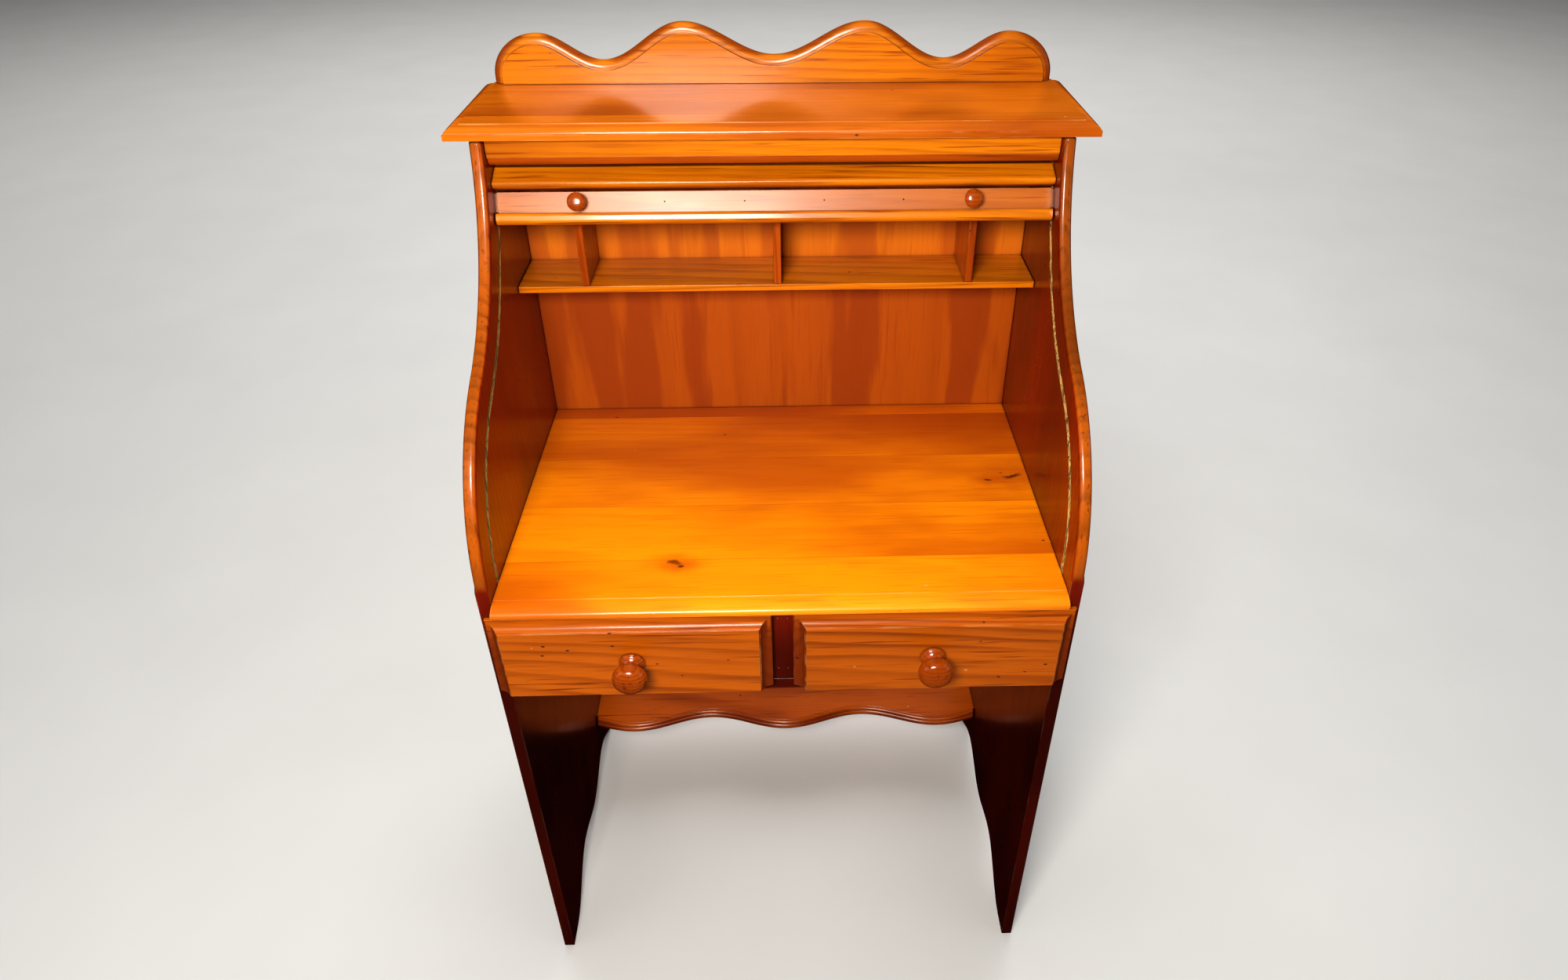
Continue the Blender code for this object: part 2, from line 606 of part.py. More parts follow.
def lead_rail(rail_wood, knob_wood, steel, datum):
    """Lead rail with its tongues, finger lip, knobs and screws, hung on the concave arc's centre."""
    frame = empty("tambour_roll", (0, UPPER_CENTRE.x, UPPER_CENTRE.y), datum)
    place = track(RAIL_WIDTH / 2 + 0.001)
    half = RAIL_WIDTH / 2
    section = [(-half, -SLAT_BACK), (half, -SLAT_BACK), (half, SLAT_FACE), (-half, SLAT_FACE)]
    run, thick = half - 0.001, TRACK_WIDTH / 2 - TONGUE_CLEAR
    tongue = [(-run, -thick), (run, -thick), (run, thick), (-run, thick)]
    body = INNER - RAIL_SHOULDER
    centre, slope = place
    down = Vector((-math.cos(slope), -math.sin(slope)))
    out = outward(slope)

    def ring(x, outline):
        points = [centre + down * a + out * b - UPPER_CENTRE for a, b in outline]
        return [(x, p.x, p.y) for p in points]

    tip = INNER + TRACK_DEPTH - TONGUE_CLEAR
    rings = [ring(-tip, tongue), ring(-body, tongue), ring(-body, section),
             ring(body, section), ring(body, tongue), ring(tip, tongue)]
    rail = loft("tambour_lead_rail", rings, rail_wood, frame)
    for word, side in (("left", -1), ("right", 1)):
        bore = SCREW_RADIUS + HOLE_CLEAR
        hole = turned(f"tambour_hole_{word}_cutter", [(0, -0.02), (bore, -0.02), (bore, 0.02), (0, 0.02)],
                      rail_wood, frame, sides=12)
        hole.location = (side * TAMBOUR_KNOB_X, *(centre - UPPER_CENTRE))
        hole.rotation_euler = (slope, 0, 0)
        cut(rail, hole)
        rail_knob(word, knob_wood, steel, frame, place)
    on_track("tambour_lip", lip_profile(), body + 0.001, place, rail_wood, frame, UPPER_CENTRE)


def slats(wood, datum):
    """The slats behind the lead rail, each hung on the centre of its own turn."""
    for i in range(SLAT_COUNT):
        s = -SLAT_PITCH * (i + 0.5)
        start, end = track(s), track(s + ROLL_TRAVEL)
        centre, _ = pole(start, end)
        pivot = start[0] if centre is None else centre
        frame = empty(f"slat_{i + 1:02d}_axis", (0, pivot.x, pivot.y), datum)
        profile = hood_profile() if i == 0 else slat_profile()
        name = "tambour_hood" if i == 0 else f"tambour_slat_{i + 1:02d}"
        on_track(name, profile, INNER - SLAT_END_GAP, start, wood, frame, pivot)


# ---- the desk -----------------------------------------------------------------------------------
def carcass(wood, dark, ply, rough, datum):
    """Everything that doesn't move."""
    side_panel("side_panel_left", -1, dark, datum)
    side_panel("side_panel_right", 1, dark, datum)
    moulded_top("top_board", wood, datum)
    gallery("gallery_board", wood, datum)
    clear = (-(INNER - GAP), INNER - GAP)

    frieze_z = TOP_Z - FRIEZE_HEIGHT
    block("frieze_rail", clear, (FRIEZE_FRONT, FRIEZE_FRONT + BOARD), (frieze_z, TOP_Z), wood, datum)
    bead_front = FRIEZE_FRONT + FRIEZE_BEAD_SETBACK
    bead_z = (frieze_z - GAP - FRIEZE_BEAD_HEIGHT, frieze_z - GAP)
    bead = [(FRIEZE_FRONT + BOARD, bead_z[0]), (FRIEZE_FRONT + BOARD, bead_z[1]), (bead_front - 0.004, bead_z[1]),
            (bead_front - 0.002, bead_z[0] + 0.004), (bead_front + 0.002, bead_z[0])]
    prism_x("frieze_bead", bead, *clear, wood, datum)

    block("false_back", clear, (FALSE_BACK_Y, FALSE_BACK_Y + PLY), (DESK_Z + GAP, FALSE_BACK_TOP), ply, datum)
    block("outer_back", clear, (OUTER_BACK_Y, OUTER_BACK_Y + PLY), (OUTER_BACK_BOTTOM, TOP_Z), ply, datum)
    nosed_board("writing_surface", wood, datum)

    shelf_y = (SHELF_FRONT, FALSE_BACK_Y - GAP)
    block("pigeonhole_shelf", clear, shelf_y, (SHELF_TOP - SHELF_THICK, SHELF_TOP), wood, datum)
    for word, x in (("left", -DIVIDER_X), ("centre", 0.0), ("right", DIVIDER_X)):
        block(f"divider_{word}", (x - DIVIDER / 2, x + DIVIDER / 2), shelf_y, (SHELF_TOP + GAP, DIVIDER_TOP),
              wood, datum)

    rail_top = DRAWER_BOTTOM - 0.001
    rail_z = (rail_top - RAIL_HEIGHT, rail_top)
    front_y = (MUNTIN_SETBACK, MUNTIN_SETBACK + RAIL_DEPTH)
    rear_y = (REAR_RAIL_Y, REAR_RAIL_Y + RAIL_DEPTH)
    block("front_rail", clear, front_y, rail_z, dark, datum)
    block("rear_rail", clear, rear_y, rail_z, rough, datum)
    block("centre_muntin", (-MUNTIN_WIDTH / 2, MUNTIN_WIDTH / 2), front_y, (rail_top + GAP, DESK_UNDER - GAP),
          dark, datum)
    run_y = (front_y[1] + GAP, rear_y[0] - GAP)
    run_z = (BOX_BOTTOM - GAP - RAIL_HEIGHT, BOX_BOTTOM - GAP)
    block("runner_left", (-(INNER - GAP), -(INNER - RUNNER_WIDTH)), run_y, run_z, rough, datum)
    block("runner_right", (INNER - RUNNER_WIDTH, INNER - GAP), run_y, run_z, rough, datum)
    block("runner_centre", (-RUNNER_WIDTH * 1.6, RUNNER_WIDTH * 1.6), run_y, run_z, rough, datum)
    low_shelf("lower_shelf", wood, datum)


def main():
    """Build the desk."""
    for obj in list(bpy.data.objects):
        bpy.data.objects.remove(obj)
    wood = material("varnished_pine", (0.62, 0.23, 0.035), 0.22)
    dark = material("stained_pine", (0.30, 0.075, 0.018), 0.28)
    ply = material("stained_plywood", (0.55, 0.21, 0.04), 0.35)
    rough = material("bare_pine", (0.62, 0.42, 0.22), 0.65)
    knob_wood = material("knob_wood", (0.36, 0.09, 0.02), 0.20)
    steel = material("screw_steel", (0.55, 0.53, 0.48), 0.35, metallic=1.0)
    datum = empty("desk_datum", (0, -Y_MIDDLE, 0))
    carcass(wood, dark, ply, rough, datum)
    for side in (-1, 1):
        drawer(side, wood, rough, ply, knob_wood, steel, datum)
    lead_rail(wood, knob_wood, steel, datum)
    slats(wood, datum)


main()
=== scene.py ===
"""Looks of a pine roll top desk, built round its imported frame.

Metres, in the frame's own coordinates: +X to the right of someone facing the desk, the front towards -Y,
+Z up and the floor at Z = 0.  Depths called "design" run back from the front edges of the side panels.
"""
from __future__ import annotations

import json
import logging
import math
from dataclasses import dataclass, field, replace
from enum import Enum
from typing import Iterable, Optional, Sequence, Union

import bmesh
import bpy
from mathutils import Euler, Matrix, Vector


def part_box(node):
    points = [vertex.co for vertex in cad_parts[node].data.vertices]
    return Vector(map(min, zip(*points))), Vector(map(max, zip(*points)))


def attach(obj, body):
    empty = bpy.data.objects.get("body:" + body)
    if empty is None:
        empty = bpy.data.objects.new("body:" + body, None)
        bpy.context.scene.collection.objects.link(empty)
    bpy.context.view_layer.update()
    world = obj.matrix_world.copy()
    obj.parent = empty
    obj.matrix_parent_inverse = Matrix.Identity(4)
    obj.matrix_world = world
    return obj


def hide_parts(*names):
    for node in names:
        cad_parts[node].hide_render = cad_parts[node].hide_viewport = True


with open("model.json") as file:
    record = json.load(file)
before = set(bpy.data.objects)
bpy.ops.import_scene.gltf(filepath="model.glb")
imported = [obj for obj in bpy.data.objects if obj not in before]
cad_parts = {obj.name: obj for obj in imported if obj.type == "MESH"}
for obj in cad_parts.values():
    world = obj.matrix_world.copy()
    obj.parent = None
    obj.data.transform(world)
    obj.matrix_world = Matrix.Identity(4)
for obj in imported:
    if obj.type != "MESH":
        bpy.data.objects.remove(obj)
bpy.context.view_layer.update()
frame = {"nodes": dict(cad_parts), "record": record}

LOG = logging.getLogger("roll_top_desk")
Colour = tuple[float, float, float]
Point2 = tuple[float, float]
Socket = bpy.types.NodeSocket
Value = Union[float, Colour, Socket]
GAP = 0.0003


class Lay(Enum):
    """How a board lies: rows that turn desk coordinates into (along the grain, across it, through it)."""

    FLAT = ((1, 0, 0), (0, 1, 0), (0, 0, 1))
    UPRIGHT = ((1, 0, 0), (0, 0, 1), (0, -1, 0))
    STANDING_SIDE = ((0, 0, 1), (0, 1, 0), (-1, 0, 0))
    STANDING_BACK = ((0, 0, 1), (1, 0, 0), (0, 1, 0))
    RUNNING_SIDE = ((0, 1, 0), (0, 0, 1), (1, 0, 0))
    RUNNING_FLAT = ((0, 1, 0), (-1, 0, 0), (0, 0, 1))


# ---- node trees ----------------------------------------------------------------------------------
class Wiring:
    """Adds and joins nodes in one tree."""

    def __init__(self, tree: bpy.types.NodeTree) -> None:
        """Take hold of a tree.

        Args:
            tree: The node tree to write in.
        """
        self.tree = tree

    def add(self, kind: str, **settings: object) -> bpy.types.Node:
        """Add a node.

        Args:
            kind: The node's type.
            settings: Properties set on the node.

        Returns:
            The new node.
        """
        node = self.tree.nodes.new(kind)
        for name, value in settings.items():
            setattr(node, name, value)
        return node

    def feed(self, target: Socket, value: Value) -> None:
        """Link a socket to another, or set its value.

        Args:
            target: Input to feed.
            value: Output socket, number, vector or colour.
        """
        if isinstance(value, bpy.types.NodeSocket):
            self.tree.links.new(value, target)
        elif isinstance(value, tuple) and target.type == "RGBA":
            target.default_value = (*value, 1.0)
        else:
            target.default_value = value

    def math(self, operation: str, a: Value, b: Value = 0.0, c: Value = 0.0) -> Socket:
        """Return the result of a Math node."""
        node = self.add("ShaderNodeMath", operation=operation)
        for target, value in zip(node.inputs, (a, b, c)):
            self.feed(target, value)
        return node.outputs[0]

    def vector(self, operation: str, a: Value, b: Value) -> Socket:
        """Return the vector result of a Vector Math node."""
        node = self.add("ShaderNodeVectorMath", operation=operation)
        self.feed(node.inputs[0], a)
        self.feed(node.inputs[1], b)
        return node.outputs[0]

    def split(self, vector: Socket) -> tuple[Socket, Socket, Socket]:
        """Return the three parts of a vector."""
        node = self.add("ShaderNodeSeparateXYZ")
        self.feed(node.inputs[0], vector)
        return node.outputs[0], node.outputs[1], node.outputs[2]

    def join(self, x: Value, y: Value, z: Value) -> Socket:
        """Return a vector made of three parts."""
        node = self.add("ShaderNodeCombineXYZ")
        for target, value in zip(node.inputs, (x, y, z)):
            self.feed(target, value)
        return node.outputs[0]

    def noise(self, vector: Socket, stretch: Colour, detail: float = 2.0, colour: bool = False) -> Socket:
        """Noise over a stretched space.

        Args:
            vector: Where to read the noise.
            stretch: Features per metre along each axis.
            detail: Octaves.
            colour: Return three values rather than one.

        Returns:
            The noise's factor or colour socket.
        """
        node = self.add("ShaderNodeTexNoise")
        node.inputs["Scale"].default_value = 1.0
        node.inputs["Detail"].default_value = detail
        self.feed(node.inputs["Vector"], self.vector("MULTIPLY", vector, stretch))
        return node.outputs["Color" if colour else "Fac"]

    def cells(self, vector: Socket, stretch: Colour) -> tuple[Socket, Socket]:
        """Return the distance to the nearest seed of a stretched cell pattern, and that cell's number."""
        node = self.add("ShaderNodeTexVoronoi")
        node.inputs["Scale"].default_value = 1.0
        self.feed(node.inputs["Vector"], self.vector("MULTIPLY", vector, stretch))
        return node.outputs["Distance"], self.split(node.outputs["Color"])[0]

    def ramp(self, factor: Socket, stops: Sequence[Point2]) -> Socket:
        """Make a grey ramp.

        Args:
            factor: Where on the ramp to read.
            stops: Places along the ramp and their values.

        Returns:
            The ramp's colour.
        """
        node = self.add("ShaderNodeValToRGB")
        band = node.color_ramp
        while len(band.elements) < len(stops):
            band.elements.new(0.5)
        for element, (place, value) in zip(band.elements, stops):
            element.position = place
            element.color = (value, value, value, 1.0)
        self.feed(node.inputs[0], factor)
        return node.outputs[0]

    def fade(self, value: Socket, low: float, high: float) -> Socket:
        """Return 0 below low, 1 above high and a smooth step between; low may be the larger."""
        node = self.add("ShaderNodeMapRange", interpolation_type="SMOOTHSTEP")
        for target, number in zip(node.inputs, (value, low, high, 0.0, 1.0)):
            self.feed(target, number)
        return node.outputs[0]

    def mix(self, factor: Value, a: Value, b: Value, blend: str = "MIX") -> Socket:
        """Mix two colours.

        Args:
            factor: Share of the second colour.
            a: First colour.
            b: Second colour.
            blend: How the second colour lies on the first.

        Returns:
            The mixed colour.
        """
        node = self.add("ShaderNodeMix", data_type="RGBA", blend_type=blend)
        self.feed(node.inputs[0], factor)
        self.feed(node.inputs[6], a)
        self.feed(node.inputs[7], b)
        return node.outputs[2]


def group_shell(name: str, inputs: Iterable[tuple[str, str]], outputs: Iterable[tuple[str, str]]) -> Wiring:
    """Start a shader node group.

    Args:
        name: The group's name.
        inputs: (name, socket type) of each input.
        outputs: (name, socket type) of each output.

    Returns:
        A wiring of the group, with its input and output nodes in place.
    """
    tree = bpy.data.node_groups.new(name, "ShaderNodeTree")
    for direction, sockets in (("INPUT", inputs), ("OUTPUT", outputs)):
        for socket_name, kind in sockets:
            tree.interface.new_socket(socket_name, in_out=direction, socket_type=kind)
    wiring = Wiring(tree)
    wiring.add("NodeGroupInput")
    wiring.add("NodeGroupOutput")
    return wiring


def pine_group(worn: bool) -> bpy.types.NodeTree:
    """Growth rings, fibres, knots, nicks and stain of a varnished pine board, and painted shade in its
    crevices.

    The group's space has the grain along X, the board's width along Y and its thickness along Z, with the
    board's middle at the origin.

    Args:
        worn: Also rub the varnish off along the edges.

    Returns:
        The node group.
    """
    name = "worn_pine" if worn else "sound_pine"
    if name in bpy.data.node_groups:
        return bpy.data.node_groups[name]
    numbers = ("Stave", "Pith", "Rift", "Spacing", "Contrast", "Blotch", "Figure", "Softness", "Knots",
               "Specks", "Roughness", "Wear", "Bump", "End")
    inputs = [("Vector", "NodeSocketVector"), ("Light", "NodeSocketColor"), ("Dark", "NodeSocketColor"),
              ("Pale", "NodeSocketColor")] + [(number, "NodeSocketFloat") for number in numbers]
    outputs = [("Colour", "NodeSocketColor"), ("Roughness", "NodeSocketFloat"),
               ("Normal", "NodeSocketVector")]
    w = group_shell(name, inputs, outputs)
    given = w.tree.nodes["Group Input"].outputs
    place = given["Vector"]
    along, across, through = w.split(place)

    stave = w.math("FLOOR", w.math("ADD", w.math("DIVIDE", across, given["Stave"]), 0.5))
    chance = w.add("ShaderNodeTexWhiteNoise", noise_dimensions="1D")
    w.feed(chance.inputs["W"], w.math("MULTIPLY_ADD", stave, 1.37, 0.21))
    first, second, third = w.split(chance.outputs["Color"])
    shifted = w.vector("ADD", place, w.join(w.math("MULTIPLY", first, 3.0), 0.0, 0.0))

    bend = w.vector("SUBTRACT", w.noise(shifted, (1.4, 6.0, 6.0), 2.0, colour=True), (0.5, 0.5, 0.5))
    _, bend_y, bend_z = w.split(bend)
    local = w.math("SUBTRACT", across, w.math("MULTIPLY", stave, given["Stave"]))
    off_y = w.math("ADD", local, w.math("MULTIPLY", w.math("SUBTRACT", second, 0.5), 0.07))
    off_y = w.math("ADD", off_y, given["Rift"])
    off_y = w.math("MULTIPLY_ADD", bend_y, 0.030, off_y)
    tilt = w.math("MULTIPLY", w.math("SUBTRACT", third, 0.5), w.math("MULTIPLY", along, 0.10))
    off_z = w.math("ADD", w.math("ADD", through, given["Pith"]), tilt)
    off_z = w.math("MULTIPLY_ADD", bend_z, 0.030, off_z)
    radius = w.math("SQRT", w.math("ADD", w.math("POWER", off_y, 2.0), w.math("POWER", off_z, 2.0)))

    flat = w.join(w.math("MULTIPLY", w.split(shifted)[0], 2.3), w.math("MULTIPLY", across, 6.5), 0.0)
    knot_far, knot_chance = w.cells(flat, (1.0, 1.0, 1.0))
    has_knot = w.math("GREATER_THAN", given["Knots"], knot_chance)
    swirl = w.math("MULTIPLY", w.math("POWER", w.fade(knot_far, 0.42, 0.0), 3.0), has_knot)
    turns = w.math("ADD", w.math("DIVIDE", radius, given["Spacing"]), w.math("MULTIPLY", swirl, 5.0))
    turns = w.math("MULTIPLY_ADD", w.noise(shifted, (5.0, 45.0, 45.0)), 0.35, turns)
    ring = w.ramp(w.math("FRACT", turns), ((0.0, 0.0), (0.45, 0.2), (0.80, 1.0), (0.92, 0.7), (1.0, 0.0)))
    strength = w.fade(w.noise(shifted, (1.8, 14.0, 14.0), 3.0), 0.25, 0.75)
    ring = w.math("MULTIPLY", ring, w.math("MULTIPLY_ADD", strength, 0.8, 0.2))

    colour = w.mix(w.math("MULTIPLY", ring, given["Contrast"]), given["Light"], given["Dark"])
    columns = w.vector("MULTIPLY", shifted, w.join(1.0, given["Figure"], given["Figure"]))
    cloud = w.math("SUBTRACT", w.noise(columns, (1.6, 1.0, 1.0), 4.0), 0.53)
    cloud = w.math("ADD", w.math("DIVIDE", cloud, given["Softness"]), 0.5)
    cloud = w.fade(cloud, 0.0, 1.0)
    colour = w.mix(w.math("MULTIPLY", cloud, given["Blotch"]), colour, given["Dark"])
    fibre = w.noise(shifted, (14.0, 520.0, 520.0), 3.0)
    colour = w.mix(w.math("MULTIPLY", w.fade(fibre, 0.52, 0.75), 0.35), colour, given["Dark"])
    streak = w.fade(w.noise(shifted, (7.0, 230.0, 230.0), 2.0), 0.60, 0.70)
    tone = w.math("MULTIPLY", streak, w.math("MULTIPLY", given["Contrast"], 1.1))
    colour = w.mix(tone, colour, given["Dark"])

    colour = w.mix(w.math("MULTIPLY", given["End"], 0.85), colour, given["Dark"])
    # Painted shade: crevices, recesses and the joints between pieces are darkened, found by ambient
    # occlusion.
    hollow = w.add("ShaderNodeAmbientOcclusion", samples=6)
    hollow.inputs["Distance"].default_value = 0.007
    painted_crevice_shade = w.fade(hollow.outputs["AO"], 0.80, 0.20)
    brown = w.mix(0.82, given["Dark"], (0.012, 0.004, 0.002))
    colour = w.mix(w.math("MULTIPLY", painted_crevice_shade, 0.75), colour, brown)
    heart = w.math("MULTIPLY", w.fade(knot_far, 0.075, 0.035), has_knot)
    colour = w.mix(w.math("MULTIPLY", heart, 0.85), colour, brown)
    nick_far, nick_chance = w.cells(place, (34.0, 62.0, 62.0))
    nick = w.math("MULTIPLY", w.fade(nick_far, 0.105, 0.06),
                  w.math("GREATER_THAN", given["Specks"], nick_chance))
    colour = w.mix(w.math("MULTIPLY", nick, 0.9), colour, brown)
    ding_far, ding_chance = w.cells(w.vector("ADD", place, (1.7, 2.9, 0.6)), (27.0, 36.0, 36.0))
    ding_on = w.math("GREATER_THAN", w.math("MULTIPLY", given["Specks"], 0.7), ding_chance)
    ding = w.math("MULTIPLY", w.fade(ding_far, 0.075, 0.04), ding_on)
    colour = w.mix(w.math("MULTIPLY", ding, 0.6), colour, given["Pale"])
    edge = w.math("SUBTRACT", 0.5, w.math("ABSOLUTE", w.math("DIVIDE", local, given["Stave"])))
    seam = w.fade(w.math("MULTIPLY", edge, given["Stave"]), 0.0007, 0.0002)
    colour = w.mix(w.math("MULTIPLY", seam, 0.55), colour, given["Dark"])

    shine = w.math("MULTIPLY_ADD", w.noise(place, (11.0, 30.0, 30.0), 2.0), 0.14, given["Roughness"])
    shine = w.math("ADD", w.math("SUBTRACT", shine, 0.07), w.math("MULTIPLY", w.math("ADD", nick, ding), 0.3))
    if worn:
        rounded = w.add("ShaderNodeBevel", samples=4)
        rounded.inputs["Radius"].default_value = 0.0022
        facing = w.add("ShaderNodeVectorMath", operation="DOT_PRODUCT")
        w.feed(facing.inputs[0], rounded.outputs[0])
        w.feed(facing.inputs[1], w.add("ShaderNodeNewGeometry").outputs["Normal"])
        arris = w.fade(facing.outputs["Value"], 0.985, 0.86)
        rubbed = w.fade(w.noise(place, (16.0, 60.0, 60.0), 4.0), 0.46, 0.60)
        rub = w.math("MULTIPLY", w.math("MULTIPLY", arris, rubbed), given["Wear"])
        colour = w.mix(rub, colour, given["Pale"])
        shine = w.math("ADD", shine, w.math("MULTIPLY", rub, 0.3))

    height = w.math("MULTIPLY_ADD", ring, -0.25, w.math("MULTIPLY", fibre, 0.35))
    height = w.math("SUBTRACT", height,
                    w.math("MULTIPLY", w.math("ADD", nick, w.math("MULTIPLY", ding, 0.6)), 3.0))
    height = w.math("SUBTRACT", height, w.math("MULTIPLY", seam, 0.8))
    height = w.math("MULTIPLY_ADD", w.noise(place, (70.0, 160.0, 160.0), 1.0), 0.5, height)
    bump = w.add("ShaderNodeBump")
    bump.inputs["Distance"].default_value = 0.0004
    w.feed(bump.inputs["Strength"], given["Bump"])
    w.feed(bump.inputs["Height"], height)
    ends = w.tree.nodes["Group Output"].inputs
    w.feed(ends["Colour"], colour)
    w.feed(ends["Roughness"], shine)
    w.feed(ends["Normal"], bump.outputs[0])
    return w.tree


# ---- finishes ------------------------------------------------------------------------------------
@dataclass(frozen=True)
class PaintedShade:
    """Painted shade: colour that darkens along one of the desk's axes, where shade falls."""

    axis: int
    start: float
    end: float
    tint: Colour

    def over(self, w: Wiring, place: Socket, colour: Socket) -> Socket:
        """Return the colour, multiplied by the tint beyond the end of the change."""
        depth = w.fade(w.split(place)[self.axis], self.start, self.end)
        return w.mix(depth, colour, w.mix(1.0, colour, self.tint, "MULTIPLY"))


@dataclass(frozen=True)
class Timber:
    """A pine finish; each board cut from it gets its own stretch of grain."""

    slot: str
    light: Colour
    dark: Colour
    pale: Colour = (0.62, 0.34, 0.12)
    stave: float = 10.0
    pith: float = 0.045
    rift: float = 0.03
    spacing: float = 0.0095
    contrast: float = 0.55
    blotch: float = 0.45
    figure: float = 5.0
    softness: float = 0.22
    knots: float = 0.10
    specks: float = 0.03
    roughness: float = 0.30
    wear: float = 0.0
    bump: float = 0.35
    coat: float = 0.22
    coat_roughness: float = 0.12
    specular: float = 0.32
    edge_gain: float = 0.0
    end_grain: Point2 = (0.04, 0.34)
    # painted shade: darker along one axis, where shade falls
    shade: Optional[PaintedShade] = None
    marks: tuple[tuple[float, float, float, float], ...] = ()

    def board(self, name: str, lay: Lay, centre: Vector, seed: float) -> bpy.types.Material:
        """The material of one board.

        Args:
            name: The board's name.
            lay: How the board lies.
            centre: The middle of the board.
            seed: Distance along the log that the board was cut at.

        Returns:
            The board's material.
        """
        material = bpy.data.materials.new(f"{self.slot}_{name}")
        material.use_nodes = True
        w = Wiring(material.node_tree)
        shader = material.node_tree.nodes["Principled BSDF"]
        turn = Matrix(lay.value)
        mapping = w.add("ShaderNodeMapping")
        mapping.inputs["Rotation"].default_value = turn.to_euler()
        mapping.inputs["Location"].default_value = Vector((seed, 0.0, 0.0)) - turn @ centre
        w.feed(mapping.inputs["Vector"], w.add("ShaderNodeTexCoord").outputs["Object"])
        grain = w.add("ShaderNodeGroup", node_tree=pine_group(self.wear > 0))
        w.feed(grain.inputs["Vector"], mapping.outputs[0])
        facing = w.add("ShaderNodeVectorMath", operation="DOT_PRODUCT")
        w.feed(facing.inputs[0], w.add("ShaderNodeTexCoord").outputs["Normal"])
        facing.inputs[1].default_value = lay.value[0]
        end = w.fade(w.math("ABSOLUTE", facing.outputs["Value"]), *self.end_grain)
        values = {"Light": self.light, "Dark": self.dark, "Pale": self.pale, "Stave": self.stave,
                  "Pith": self.pith, "Rift": self.rift, "Spacing": self.spacing, "Contrast": self.contrast,
                  "Blotch": self.blotch, "Figure": self.figure, "Softness": self.softness,
                  "Knots": self.knots, "Specks": self.specks, "Roughness": self.roughness, "Wear": self.wear,
                  "Bump": self.bump, "End": end}
        for key, value in values.items():
            w.feed(grain.inputs[key], value)
        w.feed(shader.inputs["Base Color"], self.marked(w, grain.outputs["Colour"], lay))
        w.feed(shader.inputs["Roughness"], grain.outputs["Roughness"])
        w.feed(shader.inputs["Normal"], grain.outputs["Normal"])
        shader.inputs["Specular IOR Level"].default_value = self.specular
        shader.inputs["Coat Weight"].default_value = self.coat
        shader.inputs["Coat Roughness"].default_value = self.coat_roughness
        return material


    def marked(self, w: Wiring, colour: Socket, lay: Lay) -> Socket:
        """Add the knots whose places are known, the brightened edges and the shade painted along one axis.

        Args:
            w: The material's wiring.
            colour: The wood's colour.
            lay: How the board lies.

        Returns:
            The marked colour.
        """
        if not self.marks and not self.shade:
            return colour
        place = w.add("ShaderNodeTexCoord").outputs["Object"]
        wander = w.vector("SUBTRACT", w.noise(place, (40.0, 40.0, 40.0), 3.0, colour=True), (0.5, 0.5, 0.5))
        for x, y, z, size in self.marks:
            moved = w.vector("ADD", place, w.vector("MULTIPLY", wander, (size * 2.4,) * 3))
            gap = w.add("ShaderNodeVectorMath", operation="LENGTH")
            offset = w.vector("SUBTRACT", moved, (x, y, z))
            w.feed(gap.inputs[0], w.vector("MULTIPLY", offset, (0.45, 1.0, 1.0)))
            halo = w.fade(gap.outputs["Value"], size * 3.2, size * 0.5)
            colour = w.mix(w.math("MULTIPLY", halo, 0.45), colour, self.dark)
            heart = w.fade(gap.outputs["Value"], size * 0.62, size * 0.25)
            colour = w.mix(w.math("MULTIPLY", heart, 0.85), colour, (0.045, 0.010, 0.003))
        # Panel edges above the writing surface are brightened: partly painted light where they face the lamp,
        # partly their own paler colour.
        if self.edge_gain:
            flank = w.add("ShaderNodeVectorMath", operation="DOT_PRODUCT")
            w.feed(flank.inputs[0], w.add("ShaderNodeTexCoord").outputs["Normal"])
            flank.inputs[1].default_value = lay.value[2]
            edge = w.fade(w.math("ABSOLUTE", flank.outputs["Value"]), 0.97, 0.60)
            above = w.math("MULTIPLY", w.fade(w.split(place)[2], 0.795, 0.812), self.edge_gain)
            brighter = w.mix(1.0, colour, EDGE_GAIN, "MULTIPLY")
            colour = w.mix(w.math("MULTIPLY", edge, above), colour, brighter)
        # Painted shade along one axis.
        if self.shade:
            colour = self.shade.over(w, place, colour)
        return colour


@dataclass(frozen=True)
class Metal:
    """Zinc-plated steel with a soft brushing."""

    name: str
    colour: Colour
    roughness: float

    def material(self) -> bpy.types.Material:
        """Make the metal's material, once.

        Returns:
            The brushed metal.
        """
        if self.name in bpy.data.materials:
            return bpy.data.materials[self.name]
        material = bpy.data.materials.new(self.name)
        material.use_nodes = True
        w = Wiring(material.node_tree)
        shader = material.node_tree.nodes["Principled BSDF"]
        place = w.add("ShaderNodeTexCoord").outputs["Object"]
        brushing = w.noise(place, (900.0, 900.0, 2500.0), 3.0)
        dull = tuple(channel * 0.45 for channel in self.colour)
        w.feed(shader.inputs["Base Color"], w.mix(brushing, self.colour, dull))
        w.feed(shader.inputs["Roughness"], w.math("MULTIPLY_ADD", brushing, 0.25, self.roughness))
        shader.inputs["Metallic"].default_value = 1.0
        return material


